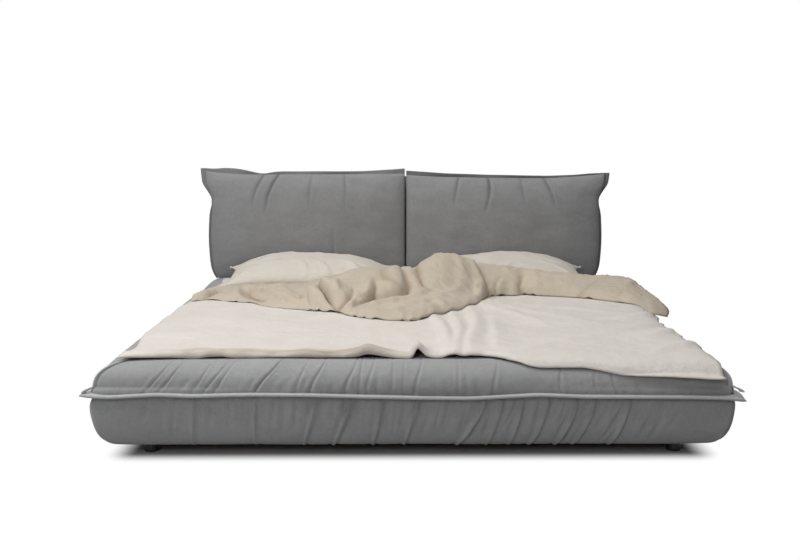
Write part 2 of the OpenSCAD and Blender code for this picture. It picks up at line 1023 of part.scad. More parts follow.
function pillow_point(s, t, up) =
  let (
    puff = pillow_t / 2 * bulge(s, 2.6) * bulge(t, 2.4),
    middle = pillow_mid_z(t)
  )
  [
    pillow_mid_x + pillow_l / 2 * s * (1 - 0.035 * (1 - t * t)),
    pillow_mid_y + pillow_d / 2 * t * (1 - 0.06 * (1 - pow(s, 2))),
    up
      ? middle + pillow_seam / 2 + puff
      : max(mattress_top + soft_gap, middle - pillow_seam / 2 - puff)
  ];

module pillow_right() {
  color("#cdc4b8") two_sided(
    [for (t = pillow_rows) [for (s = pillow_columns) pillow_point(s, t, true)]],
    [for (t = pillow_rows) [for (s = pillow_columns) pillow_point(s, t, false)]]
  );
}

module pillow_left() {
  mirror([1, 0, 0]) pillow_right();
}

// Duvet: a runs from left to right, and its rows run from the foot to the head. They follow
// the free edge of the part thrown back
duvet_columns = 26;
main_rows = 10;
flap_rows = 11;
duvet_rows = main_rows + 1 + flap_rows;
duvet_left_x = -in_x - 0.45 * roll_w;
duvet_right_x = in_x + 0.74 * roll_w;
duvet_mid_x = (duvet_left_x + duvet_right_x) / 2;
duvet_half_w = (duvet_right_x - duvet_left_x) / 2;
duvet_foot_y = foot_y - 0.48 * roll_w;
duvet_head_gap = 14;
duvet_head_y = pillow_mid_y - pillow_d / 2 - duvet_head_gap;
duvet_tip = 150;
left_swell = 30;
left_draw_in = 120;
right_draw_in = 45;
foot_wave = 14;
duvet_hem = 7;
drape_gap = 8;
overhang_u = roll_w - 16;
overhang_slope = 0.2;

duvet_across = end_weighted(duvet_columns, 78);

// Places and heights of the cloth are in hundredths of the mattress length
heap_unit = mattress_l / 100;

// From left to right, how far up the bed the free edge lies, how high the part thrown
// back stands, and where it falls away at once, as a mound does
free_edge_along = [
  [-1, 57], [-0.81, 56], [-0.65, 50], [-0.52, 46], [-0.38, 40], [-0.26, 36.5], [-0.1, 29], [0, 30],
  [0.09, 36.5], [0.23, 48.5], [0.34, 60], [0.59, 61], [0.78, 54], [1, 50]
];
crest_rise = [
  [-1, 0.5], [-0.81, 0.8], [-0.53, 1], [-0.46, 2.3], [-0.42, 3.9], [-0.32, 4.9], [-0.18, 5.4], [-0.03, 6.1],
  [0.05, 7.1], [0.15, 9.1], [0.21, 8.6], [0.27, 6.9], [0.33, 5.8], [0.46, 5], [0.66, 4], [0.85, 3.6], [1, 4.2]
];
mound_share = [[-0.52, 0], [-0.4, 1], [0.27, 1], [0.36, 0]];

function free_y(a) = foot_y + heap_unit * lookup(a, free_edge_along);

edge_step = 12;

function duvet_y(a, j) =
  j <= main_rows
    ? duvet_foot_y + (free_y(a) - duvet_foot_y) * j / main_rows
        + foot_wave * sin(a * 500 + 60) * pow(1 - j / main_rows, 3)
    : free_y(a) + edge_step
        + (duvet_head_y - free_y(a) - edge_step) * (j - main_rows - 1) / flap_rows;

function duvet_x(a, y) =
  let (back = (y - duvet_foot_y) / (duvet_head_y - duvet_foot_y))
  duvet_mid_x + duvet_half_w * a
    + (a < 0 ? pow(-a, 5) * (left_draw_in * pow(back, 6) - left_swell * bell(back - 0.55, 0.25)) : 0)
    + (a > 0 ? pow(a, 9) * (duvet_tip * bell(back - 0.66, 0.09) - right_draw_in * pow(back, 6)) : 0);

function support_z(x, y) =
  let (
    side_u = abs(x) - in_x,
    foot_u = foot_y - y,
    side_z = side_u > crown_u ? roll_top_z(min(side_u, overhang_u)) : base_top,
    foot_z = foot_u > crown_u ? roll_top_z(min(foot_u, overhang_u)) : base_top
  )
  min(side_z, foot_z) - (side_u > roll_w ? overhang_slope * (side_u - roll_w) : 0);

function duvet_low(x, y) =
  let (
    side_u = abs(x) - in_x,
    over = side_u > 0 || y < foot_y ? 1 : 0
  )
  support_z(x, y) + soft_gap + over * drape_gap;

// Share of the crest's height: s runs from 0 at the head to 1 at the free edge
back_share = 0.28;

function thrown_profile(s, mound) =
  let (
    ahead = max(0, s - back_share) / (1 - back_share),
    slope = 0.16 * bulge(ahead, 3) + 0.84 * bell(ahead, 0.36),
    band = 0.12 * bulge(ahead, 3) + 0.88 * (1 + cos(180 * ahead)) / 2
  )
  s < back_share ? bulge(1 - s / back_share, 2) : mound * slope + (1 - mound) * band;

fold_rise = 14;
ridge_height = 5;
ridge_reach = 150;

function duvet_high(x, y, a, j) =
  let (
    k = j - main_rows - 1,
    ridges = ridge_height * (1 + sin(a * 900 + 30)) * bell(y - duvet_foot_y, ridge_reach),
    crest = heap_unit * lookup(a, crest_rise),
    thrown = k < 0 ? 0 : fold_rise + crest * thrown_profile(1 - k / flap_rows, lookup(a, mound_share)),
    edge = bulge(a, 8) * bulge(2 * j / duvet_rows - 1, 8)
  )
  duvet_low(x, y) + duvet_hem + (duvet_t - duvet_hem + ridges + thrown) * edge;

duvet_grid = [
  for (j = [0 : duvet_rows])
    [for (a = duvet_across)
      let (y = duvet_y(a, j))
      [duvet_x(a, y), y, a, j]
    ]
];

module duvet() {
  color("#dcd5cb") two_sided(
    [for (row = duvet_grid) [for (p = row) [p[0], p[1], duvet_high(p[0], p[1], p[2], p[3])]]],
    [for (row = duvet_grid) [for (p = row) [p[0], p[1], duvet_low(p[0], p[1])]]]
  );
}

mattress();
pillow_left();
pillow_right();
duvet();
base_cushion_front();
base_cushion_left();
base_cushion_right();
base_flange_front();
base_flange_left();
base_flange_right();
corner_flange_left();
corner_flange_right();
foot_board();
head_rail();
side_board_left();
side_board_right();
foot_plank();
side_plank_left();
side_plank_right();
leg_at(-leg_front_x, foot_y - leg_u);  // leg_front_left
leg_at(leg_front_x, foot_y - leg_u);  // leg_front_right
leg_at(-in_x - leg_rear_u, leg_rear_y);  // leg_rear_left
leg_at(in_x + leg_rear_u, leg_rear_y);  // leg_rear_right
slat_ledge_left();
slat_ledge_right();
centre_beam();
beam_hanger_foot();
beam_hanger_head();
centre_leg();
centre_foot();
for (i = [0 : slat_count - 1])
  slat(i);
corner_brackets();
frame_bolts();
batten(head_bolt_z[0]);  // headboard_batten_lower
batten(head_bolt_z[1]);  // headboard_batten_upper
headboard_front_panel();
upright(-upright_side_x);  // headboard_upright_left
upright(0);  // headboard_upright_centre
upright(upright_side_x);  // headboard_upright_right
headboard_top_rail();
headboard_back_panel();
headboard_cover();
headboard_bolts();
headboard_cushion_left();
headboard_cushion_right();
headboard_flange_left();
headboard_flange_right();
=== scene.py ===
import json
import math

import bmesh
import bpy
import numpy as np
from mathutils import Matrix, Vector, noise


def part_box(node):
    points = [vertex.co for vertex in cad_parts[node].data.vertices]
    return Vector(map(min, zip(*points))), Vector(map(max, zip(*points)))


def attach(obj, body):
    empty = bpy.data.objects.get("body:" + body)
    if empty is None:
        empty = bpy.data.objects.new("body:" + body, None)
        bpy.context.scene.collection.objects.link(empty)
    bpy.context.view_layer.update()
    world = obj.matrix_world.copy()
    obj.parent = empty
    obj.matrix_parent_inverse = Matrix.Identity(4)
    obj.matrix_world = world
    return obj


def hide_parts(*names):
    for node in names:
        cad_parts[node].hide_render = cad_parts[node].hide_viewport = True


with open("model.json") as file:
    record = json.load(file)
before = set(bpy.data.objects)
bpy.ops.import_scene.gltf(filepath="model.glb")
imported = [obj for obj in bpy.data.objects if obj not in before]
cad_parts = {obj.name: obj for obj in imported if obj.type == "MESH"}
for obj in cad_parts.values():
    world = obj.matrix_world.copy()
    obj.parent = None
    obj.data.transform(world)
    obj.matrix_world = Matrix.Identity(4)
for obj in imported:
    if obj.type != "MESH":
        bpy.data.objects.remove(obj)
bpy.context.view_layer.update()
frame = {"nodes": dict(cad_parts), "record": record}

bl_info = {
    "name": "Upholstered bed",
    "version": (1, 0, 0),
    "blender": (4, 5, 0),
    "location": "3D View > Sidebar > Bed",
    "description": "Builds a low upholstered bed with its bedding round the packed frame",
    "category": "Object",
}

# Places that come from the frame, in metres
BOARD_LOW, BOARD_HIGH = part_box("foot_board")
FOOT_Y = BOARD_HIGH.y
BOARD_T = BOARD_HIGH.y - BOARD_LOW.y
IN_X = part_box("side_board_right")[0].x
OUT_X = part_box("base_cushion_right")[1].x
ROLL_W = OUT_X - IN_X
ROLL_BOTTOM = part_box("base_cushion_front")[0].z
PLANK_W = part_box("side_plank_right")[1].x - IN_X
FLANGE_LOW, FLANGE_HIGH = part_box("base_flange_front")
FLANGE_FRONT_Y = FLANGE_LOW.y
SEAM_Z = (FLANGE_LOW.z + FLANGE_HIGH.z) / 2
SEAM_T = FLANGE_HIGH.z - FLANGE_LOW.z
SEAM_TOP = SEAM_Z + SEAM_T / 2
MATTRESS_LOW, MATTRESS_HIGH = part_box("mattress")
BASE_TOP = MATTRESS_HIGH.z
PANEL_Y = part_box("headboard_front_panel")[0].y
HEAD_LOW, HEAD_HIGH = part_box("headboard_cushion_right")
HEAD_FLANGE_LOW, HEAD_FLANGE_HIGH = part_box("headboard_flange_right")
HEAD_SEAM_Y = (HEAD_FLANGE_LOW.y + HEAD_FLANGE_HIGH.y) / 2
PILLOW_LOW, PILLOW_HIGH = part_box("pillow_right")

# Gaps that keep pieces apart: from the frame, from what a piece lies on or leans at, and at a mitre
SNUG = 0.0005
CLEAR = 0.0006
MITRE_GAP = 0.0015

# The two sides of the bed: which way along x, and the name
SIDES = (-1, "left"), (1, "right")

# Section of a bolster: how far out from the board its round starts above and below, how high its lip
# starts over the board, and how full its upper and lower halves are
CROWN_U = 0.060
TUCK_U = PLANK_W + 0.007
LIP_Z = BOARD_HIGH.z + 0.015
TOP_POWER = 2.7
BELLY_POWER = 2.4

# How the fabric draws in beside a mitre seam, and how full the side bolsters are at the rear
CORNER_DRAW = 0.009
CORNER_HOLLOW = 0.002
CORNER_SLOPE = 0.018
CORNER_NEAR = 0.012
CORNER_FAR = 0.11
FRONT_SLOPE = 0.015
END_SWELL = 0.008
REAR_SWELL = 0.012

# Depth of crease at which its painted shade is full, above and below the seam
GROOVE_ABOVE = 0.010
GROOVE_BELOW = 0.030


# settings

# The most that a depth can be set to
DEEPEST = 0.02


def colour_setting(name, description, default):
    return bpy.props.FloatVectorProperty(
        name=name, description=description, subtype="COLOR", size=4, min=0, max=1, default=default)


def depth_setting(name, description, default):
    return bpy.props.FloatProperty(
        name=name, description=description, unit="LENGTH", min=0, max=DEEPEST, default=default)


class BaseSettings(bpy.types.PropertyGroup):
    """Sizes and colour of the bolsters round the base."""

    colour: colour_setting(
        "Fabric colour", "Colour of the brushed fabric on the base", (0.340, 0.341, 0.343, 1))
    crease_depth: depth_setting("Crease depth", "Depth of the gathers beside the seam", 0.0042)
    pinch: depth_setting("Seam pinch", "How far the seam draws the fabric in", 0.008)


class HeadSettings(bpy.types.PropertyGroup):
    """Sizes and colour of the headboard."""

    colour: colour_setting(
        "Fabric colour", "Colour of the brushed fabric on the headboard", (0.266, 0.267, 0.270, 1))
    crease_depth: depth_setting("Crease depth", "Depth of the gathers under the top flange", 0.005)


class BeddingSettings(bpy.types.PropertyGroup):
    """Colours of the bedding."""

    duvet: colour_setting("Duvet top", "Colour of the duvet's upper side", (0.70, 0.655, 0.60, 1))
    lining: colour_setting("Duvet underside", "Colour of the duvet's lower side", (0.53, 0.455, 0.36, 1))
    pillow: colour_setting("Pillows", "Colour of the pillow cases", (0.62, 0.57, 0.505, 1))
    sheet: colour_setting("Fitted sheet", "Colour of the fitted sheet", (0.64, 0.61, 0.59, 1))


# shader maths


class Socket:
    """A number in a node tree, so that shader maths reads as plain sums."""

    def __init__(self, shader, link):
        self.shader = shader
        self.link = link

    def maths(self, operation, other, swap=False):
        pair = (other, self) if swap else (self, other)
        return self.shader.node("ShaderNodeMath", {"operation": operation}, dict(enumerate(pair)))

    def __add__(self, other):
        return self.maths("ADD", other)

    def __radd__(self, other):
        return self.maths("ADD", other, swap=True)

    def __sub__(self, other):
        return self.maths("SUBTRACT", other)

    def __rsub__(self, other):
        return self.maths("SUBTRACT", other, swap=True)

    def __mul__(self, other):
        return self.maths("MULTIPLY", other)

    def __rmul__(self, other):
        return self.maths("MULTIPLY", other, swap=True)


class Shader:
    """The node tree of a material or of the world, with one method that adds any node."""

    def __init__(self, owner, output="ShaderNodeOutputMaterial"):
        owner.use_nodes = True
        self.owner = owner
        self.tree = owner.node_tree
        self.tree.nodes.clear()
        self.output = self.tree.nodes.new(output)

    def node(self, kind, settings=None, inputs=None, output=0):
        """Adds a node: its settings first, then its sockets' values or links."""
        made = self.tree.nodes.new(kind)
        for key, value in (settings or {}).items():
            setattr(made, key, value)
        for key, value in (inputs or {}).items():
            if isinstance(value, Socket):
                self.tree.links.new(value.link, made.inputs[key])
            else:
                made.inputs[key].default_value = value
        return Socket(self, made.outputs[output])

    def end(self, shader):
        """Ends the tree in a shader, and gives back the material or the world."""
        self.tree.links.new(shader.link, self.output.inputs["Surface"])
        return self.owner

    def place(self, scale=(1, 1, 1), turn=(0, 0, 0)):
        """The piece's own coordinates, in metres, stretched and turned."""
        where = self.node("ShaderNodeTexCoord", output="Object")
        return self.node("ShaderNodeMapping", None, {"Vector": where, "Scale": scale, "Rotation": turn})

    def noise(self, scale, detail, roughness, stretch=(1, 1, 1), turn=(0, 0, 0)):
        return self.node(
            "ShaderNodeTexNoise", {"noise_dimensions": "3D"},
            {"Vector": self.place(stretch, turn), "Scale": scale, "Detail": detail, "Roughness": roughness})

    def spread(self, value, low, high, kind="LINEAR"):
        """Stretches a value to run from 0 at low to 1 at high."""
        return self.node(
            "ShaderNodeMapRange", {"interpolation_type": kind, "clamp": True},
            {"Value": value, "From Min": low, "From Max": high, "To Min": 0.0, "To Max": 1.0})

    def mix(self, share, first, second):
        """Mixes two colours."""
        return self.node("ShaderNodeMix", {"data_type": "RGBA"}, {0: share, 6: first, 7: second}, output=2)

    def vector_maths(self, operation, *values, output="Vector"):
        return self.node("ShaderNodeVectorMath", {"operation": operation}, dict(enumerate(values)), output)

    def crease(self):
        """How much painted shade the mesh holds for a crease or fold, from 0 to 1."""
        return self.node("ShaderNodeAttribute", {"attribute_name": "Crease"}, output="Fac")

    def bump(self, height, distance, strength, under=None):
        inputs = {"Height": height, "Distance": distance, "Strength": strength}
        if under is not None:
            inputs["Normal"] = under
        return self.node("ShaderNodeBump", None, inputs)

    def surface(self, **values):
        """Ends the tree in a Principled shader. Each value is named for its socket."""
        inputs = {key.replace("_", " ").title().replace("Ior", "IOR"): v for key, v in values.items()}
        return self.end(self.node("ShaderNodeBsdfPrincipled", None, inputs))


def tint(colour, factor):
    """A colour times one factor, or times one each for red, green and blue."""
    factors = factor if isinstance(factor, tuple) else (factor,) * 3
    return (colour[0] * factors[0], colour[1] * factors[1], colour[2] * factors[2], 1)


def brushed_fabric(name, colour, nap_turn=0.0):
    """Soft napped upholstery: fine melange fibres, a faint weave and brushed patches, with painted shade in
    its creases.
    """
    s = Shader(bpy.data.materials.new(name))
    fibre = s.noise(900, 2, 0.6, (1, 1, 1.6), (0, nap_turn, 0))
    melange = s.spread(s.noise(260, 4, 0.65), 0.32, 0.68)
    brushed = s.spread(s.noise(9, 5, 0.6, (1, 1, 2.2), (0.3, nap_turn, 0.2)), 0.35, 0.65)
    mottle = s.spread(s.noise(75, 3, 0.6, (1, 1, 0.6), (0, nap_turn, 0)), 0.34, 0.66)
    patch = s.spread(s.noise(2.6, 3, 0.5), 0.38, 0.62)
    base = s.mix(melange, tint(colour, 0.84), tint(colour, 1.15))
    pile = s.mix(mottle * 0.55, base, tint(colour, 0.80))
    worn = s.mix(brushed * 0.5, pile, tint(colour, 1.14))
    even = s.mix(patch * 0.35, worn, tint(colour, 0.86))
    # Painted shade: the colour goes darker where the mesh's Crease attribute marks a crease
    shade = s.mix(s.crease() * 0.75, even, tint(colour, 0.35))
    weave = s.node(
        "ShaderNodeTexWave", {"wave_type": "BANDS", "bands_direction": "DIAGONAL"},
        {"Vector": s.place(), "Scale": 190.0, "Distortion": 1.5, "Detail": 1.0, "Detail Scale": 2.0},
        output="Fac")
    cloth = s.bump(fibre * 0.6 + weave * 0.25 + melange * 0.4, 0.0012, 0.55)
    soft = s.bump(brushed, 0.0025, 0.35, cloth)
    return s.surface(
        base_color=shade, roughness=0.93 - melange * 0.1, normal=soft, sheen_weight=0.28,
        sheen_roughness=0.45, sheen_tint=(0.62, 0.62, 0.64, 1), specular_ior_level=0.22)


def washed_cotton(name, colour, deep, crumpled):
    """Plain woven cotton that has been washed soft: faint slubs and small crumples, with brown painted
    shade in its folds and along the hem.
    """
    s = Shader(bpy.data.materials.new(name))
    slub = s.noise(420, 3, 0.6, (1, 0.16, 1))
    cross = s.noise(420, 3, 0.6, (0.16, 1, 1))
    tone = s.spread(s.noise(5.5, 4, 0.55), 0.34, 0.66)
    crush = s.spread(s.noise(17, 5, 0.62, (1, 1, 1), (0.5, 0.2, 0.4)), 0.3, 0.7)
    base = s.mix(tone, tint(colour, deep), tint(colour, 1.04))
    plain = s.mix((slub + cross) * 0.35, base, tint(colour, 0.93))
    # Painted shade: the colour goes a darker brown where the mesh's Crease attribute marks a fold, a hollow
    # or the hem
    shade = s.mix(s.crease() * 0.92, plain, tint(colour, (0.50, 0.42, 0.33)))
    weave = s.bump(slub + cross, 0.0006, 0.4)
    soft = s.bump(crush, 0.006 * crumpled, 0.5, weave)
    return s.surface(
        base_color=shade, roughness=0.86 - tone * 0.08, normal=soft, sheen_weight=0.12,
        sheen_roughness=0.6, specular_ior_level=0.3)


def planed_wood(name, light, dark, along, ply=False):
    """Planed softwood with rings stretched along the board, or plywood with a more even finish."""
    s = Shader(bpy.data.materials.new(name))
    stretch = {"X": (0.08, 1, 1), "Y": (1, 0.08, 1), "Z": (1, 1, 0.08)}[along]
    warp = s.noise(9, 3, 0.5, stretch)
    rings = s.node(
        "ShaderNodeTexWave", {"wave_type": "RINGS", "rings_direction": along},
        {"Vector": s.place(stretch), "Scale": 26.0, "Distortion": 5.0, "Detail": 3.0,
         "Detail Scale": 1.4, "Phase Offset": 1.3}, output="Fac")
    fine = s.noise(420, 3, 0.55, stretch)
    grain = s.mix(rings * 0.55 + warp * 0.3, light, dark)
    board = s.mix(fine * 0.35, grain, dark)
    height = rings * 0.4 + fine * 0.6
    finish = 0.5 + warp * 0.2 if ply else 0.55 + fine * 0.2
    return s.surface(
        base_color=board, roughness=finish, normal=s.bump(height, 0.0006, 0.4), specular_ior_level=0.35)


def plated_steel(name, colour, dull):
    """Zinc-plated sheet: fine spangle and rubbed streaks."""
    s = Shader(bpy.data.materials.new(name))
    spangle = s.node("ShaderNodeTexVoronoi", {"feature": "F1"}, {"Vector": s.place(), "Scale": 160.0})
    streak = s.noise(220, 3, 0.6, (1, 1, 0.12))
    tone = s.mix(spangle, tint(colour, 0.85), tint(colour, 1.1))
    return s.surface(
        base_color=tone, metallic=1.0, roughness=dull + streak * 0.25, normal=s.bump(streak, 0.0003, 0.3))


def matt_black(name, level):
    """Moulded or powder-coated black with a fine orange-peel surface."""
    s = Shader(bpy.data.materials.new(name))
    black = (level, level, level)
    grain = s.noise(700, 3, 0.6)
    scuff = s.spread(s.noise(40, 4, 0.7), 0.55, 0.75)
    tone = s.mix(scuff * 0.5, tint(black, 1), tint(black, (2.2, 2.2, 2.3)))
    return s.surface(base_color=tone, roughness=0.45 + scuff * 0.2, normal=s.bump(grain, 0.0004, 0.35))


# Light and dark grain of the woods, and the two steels
PINE = (0.60, 0.42, 0.24), (0.36, 0.21, 0.10)
SLAT = (0.68, 0.50, 0.30), (0.46, 0.30, 0.15)
PLY = (0.62, 0.47, 0.29), (0.45, 0.31, 0.17)
BRACKET_STEEL = (0.56, 0.57, 0.58)
BOLT_STEEL = (0.45, 0.45, 0.47)

MATERIALS = {}


def make_materials():
    """All finishes: those of the record's slots under the slots' names, and those of details."""
    scene = bpy.context.scene
    base, head, bedding = scene.bed_base, scene.bed_head, scene.bed_bedding
    pine, pine_dark = (tint(colour, 1) for colour in PINE)
    slat, slat_dark = (tint(colour, 1) for colour in SLAT)
    ply, ply_dark = (tint(colour, 1) for colour in PLY)
    MATERIALS.update({
        "base_fabric": brushed_fabric("base fabric", base.colour),
        # The flanges' fabric is the base fabric painted lighter: a painted highlight for their lit upper
        # sides
        "seam_fabric": brushed_fabric("seam fabric with painted highlight", tint(base.colour, 1.34), 0.7),
        "headboard_fabric": brushed_fabric("headboard fabric", head.colour, 0.3),
        # Darker copies of the headboard fabric for its flanges: painted shade, deepest on the shaded ones
        "flange_fabric_in_painted_shade": brushed_fabric("flange fabric in painted shade", tint(head.colour, 0.62), 0.7),
        "upper_flange_fabric": brushed_fabric("upper flange fabric", tint(head.colour, 0.88), 0.7),
        "cover_fabric": brushed_fabric("cover fabric", tint(head.colour, 0.97), 1.1),
        "sheet_fabric": washed_cotton("sheet cotton", bedding.sheet, 0.95, 0.5),
        "pillow_fabric": washed_cotton("pillow cotton", bedding.pillow, 0.95, 0.8),
        "duvet_fabric": washed_cotton("duvet cotton", bedding.duvet, 0.95, 0.9),
        "lining": washed_cotton("duvet lining", bedding.lining, 0.92, 1.0),
        "board_wood": planed_wood("board wood", pine, pine_dark, "X"),
        "beam_wood": planed_wood("beam wood", tint(pine, 0.9), pine_dark, "Y"),
        "slat_wood": planed_wood("slat wood", slat, slat_dark, "X"),
        "panel_wood": planed_wood("panel wood", ply, ply_dark, "Z", True),
        "leg_plastic": matt_black("leg plastic", 0.012),
        "leg_steel": matt_black("leg steel", 0.02),
        "bracket_steel": plated_steel("bracket steel", BRACKET_STEEL, 0.32),
        "bolt_steel": plated_steel("bolt steel", BOLT_STEEL, 0.26),
    })


# mesh helpers

# Vertices closer than this are one
MERGE = 1e-5

# Shifts along a soft curve that its value is averaged over, with their weights
SOFTENING = ((-0.030, 1), (-0.015, 3), (0, 4), (0.015, 3), (0.030, 1))

# Points of a smooth line for each one given, and samples for uneven spacing
CURVE_STEPS = 5
SPACING_SAMPLES = 600


def bell(x, width):
    """1 at 0, and fading to either side over about the width."""
    return np.exp(-(x / width) ** 2)


def bulge(c, power):
    """Height of a rounded form: 1 in the middle, and 0 where c is 1 or -1."""
    return np.maximum(0, 1 - np.minimum(1, np.abs(c)) ** power) ** (1 / power)


def step(x, low, high):
    """Runs smoothly from 0 at low to 1 at high."""
    t = np.clip((x - low) / (high - low), 0, 1)
    return t * t * (3 - 2 * t)


def between(x, rise, fall):
    """Runs from 0 to 1 across the places of rise, and back to 0 across those of fall."""
    return step(x, *rise) * (1 - step(x, *fall))


def waves(x, y, seed, size, layers=3):
    """Smooth repeatable waves over a plane, from about -1 to 1."""
    drawn = np.random.RandomState(seed)
    total = np.zeros(np.broadcast(x, y).shape)
    for layer in range(layers):
        length = size / 1.7 ** layer
        for _ in range(4):
            angle = drawn.uniform(0, math.pi)
            phase = drawn.uniform(0, 2 * math.pi)
            along = (x * math.cos(angle) + y * math.sin(angle)) * 2 * math.pi / length
            total += np.sin(along + phase) / (4 * 1.6 ** layer)
    return total


def crumple(x, y, seed, size):
    """Small folds with sharp crests, as creased cotton has, from 0 to 1."""
    first = waves(x, y, seed, size, 2)
    second = waves(x + 0.1 * first, y - 0.08 * first, seed + 1, size * 0.55, 2)
    broad = (1 - np.minimum(1, np.abs(first) * 1.6)) ** 2
    narrow = (1 - np.minimum(1, np.abs(second) * 1.8)) ** 2
    return broad * 0.6 + narrow * 0.4


def curve(points):
    """More points on a smooth line through the given ones."""
    p = np.array([points[0]] + list(points) + [points[-1]], dtype=float)
    made = []
    for k in range(1, len(p) - 2):
        for t in np.arange(CURVE_STEPS) / CURVE_STEPS:
            made.append(0.5 * (2 * p[k] + (p[k + 1] - p[k - 1]) * t
                               + (2 * p[k - 1] - 5 * p[k] + 4 * p[k + 1] - p[k + 2]) * t ** 2
                               + (3 * p[k] - p[k - 1] - 3 * p[k + 1] + p[k + 2]) * t ** 3))
    return np.array(made + [p[-1]])


def measured(x, y, points):
    """Distance from a line, positive on the line's left, and how far along it, from 0 to 1."""
    best = np.full(x.shape, 9.0)
    side = np.ones(x.shape)
    along = np.zeros(x.shape)
    steps = len(points) - 1
    for k in range(steps):
        (x0, y0), (x1, y1) = points[k], points[k + 1]
        dx, dy = x1 - x0, y1 - y0
        t = np.clip(((x - x0) * dx + (y - y0) * dy) / (dx * dx + dy * dy), 0, 1)
        ox, oy = x - x0 - t * dx, y - y0 - t * dy
        d = np.hypot(ox, oy)
        near = d < best
        best = np.where(near, d, best)
        side = np.where(near, np.where(dx * oy - dy * ox < 0, -1, 1), side)
        along = np.where(near, (k + t) / steps, along)
    return best * side, along


def from_fold(x, y, points, heights):
    """Distance of each place from a fold's line, how far along it is, and the fold's height there."""
    d, along = measured(x, y, curve(points))
    return d, along, np.interp(along, np.linspace(0, 1, len(heights)), heights)


def fold(x, y, points, heights, left, right):
    """A fold of cloth along a line, with its height along the line and its width to either side."""
    d, along, height = from_fold(x, y, points, heights)
    width = np.where(d > 0, left, right)
    return height * np.exp(-(np.abs(d) / width) ** 1.7)


def roll(x, y, points, heights, rounding, fade):
    """Cloth that stands up on the left of a line, with a rounded edge along it, and fades further away."""
    d, along, height = from_fold(x, y, points, heights)
    inside = np.maximum(d, 0)
    ends = np.where((along <= 0) | (along >= 1), bell(np.abs(d), 0.05), 1)
    return height * bulge(1 - np.minimum(1, inside / rounding), 2) * (d > 0) * bell(inside / fade, 1) * ends


def together(x, y, form, entries):
    """Height that several folds, or several rolls, give together."""
    return sum(form(x, y, *entry) for entry in entries)


def smooth_curve(x, knots):
    """A soft curve through (place, value) knots."""
    places, values = np.array(knots).T
    total = sum(share * np.interp(x + shift, places, values) for shift, share in SOFTENING)
    return total / sum(share for shift, share in SOFTENING)


def spaced(a, low, high, density):
    """Turns even numbers from 0 to 1 into places that lie closer where the density is greater."""
    total = np.cumsum(density(np.linspace(low, high, SPACING_SAMPLES)))
    total = (total - total[0]) / (total[-1] - total[0])
    return np.interp(a, total, np.linspace(0, 1, SPACING_SAMPLES))


def to_edges(a, b):
    """Grid shares from 0 to 1 as places from -1 to 1 that lie closer toward the edges."""
    return np.sin((a - 0.5) * math.pi), np.sin((b - 0.5) * math.pi)


def grid_mesh(columns, rows, place, tube=False):
    """A bmesh grid whose vertices go where place(across, along) says, each from 0 to 1.

    place may give a fourth number: the painted shade of a crease at the vertex, from 0 to 1, kept in the
    attribute Crease.
    A tube has its first row joined to its last, and both ends filled.
    """
    bm = bmesh.new()
    bmesh.ops.create_grid(bm, x_segments=columns, y_segments=rows, size=1)
    flat = np.array([v.co[:2] for v in bm.verts])
    x, y, z, *crease_shade = place((flat[:, 0] + 1) / 2, (flat[:, 1] + 1) / 2)
    for vert, px, py, pz in zip(bm.verts, x, y, z):
        vert.co = (px, py, pz)
    if crease_shade:
        layer = bm.verts.layers.float.new("Crease")
        for vert, value in zip(bm.verts, np.clip(crease_shade[0], 0, 1)):
            vert[layer] = value
    if tube:
        bmesh.ops.remove_doubles(bm, verts=bm.verts, dist=MERGE)
        bmesh.ops.holes_fill(bm, edges=[e for e in bm.edges if e.is_boundary], sides=0)
    return bm


def mesh_of(name, bm):
    """A mesh made of a finished bmesh."""
    mesh = bpy.data.meshes.new(name)
    bm.to_mesh(mesh)
    bm.free()
    return mesh


def object_of(name, data):
    """Puts a mesh, a light or the camera into the scene as an object."""
    made = bpy.data.objects.new(name, data)
    bpy.context.scene.collection.objects.link(made)
    return made


def add(bm, other):
    """Moves the faces of one bmesh into another."""
    mesh = mesh_of("part", other)
    bm.from_mesh(mesh)
    bpy.data.meshes.remove(mesh)


def outward(bm):
    bmesh.ops.recalc_face_normals(bm, faces=bm.faces)
    return bm


def two_sheets(columns, rows, upper, lower):
    """A closed bmesh between two grids, which meet along their edges or are joined there by a wall."""
    bm = grid_mesh(columns, rows, upper)
    add(bm, grid_mesh(columns, rows, lower))
    bmesh.ops.remove_doubles(bm, verts=bm.verts, dist=MERGE)
    rim = [e for e in bm.edges if e.is_boundary]
    if rim:
        bmesh.ops.bridge_loops(bm, edges=rim)
    return outward(bm)


def piece(name, bm, slot_name, body, nodes, extra=()):
    """Makes a smooth object of a bmesh, gives it its finishes and ties it to its CAD body."""
    made = object_of(name, mesh_of(name, bm))
    for polygon in made.data.polygons:
        polygon.use_smooth = True
    for finish in (slot_name, *extra):
        made.data.materials.append(MATERIALS[finish])
    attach(made, body)
    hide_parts(*nodes)
    return made


# bolsters

# Points of a bolster's section on its lip, its upper half and its lower half
LIP_POINTS = 6
UPPER_POINTS = 30
LOWER_POINTS = 32

# Grid columns along the front bolster and along a side one
FRONT_COLUMNS = 1060
SIDE_COLUMNS = 640

# Small gathers of a side bolster, above its seam and again below it
SIDE_GATHERS = 44


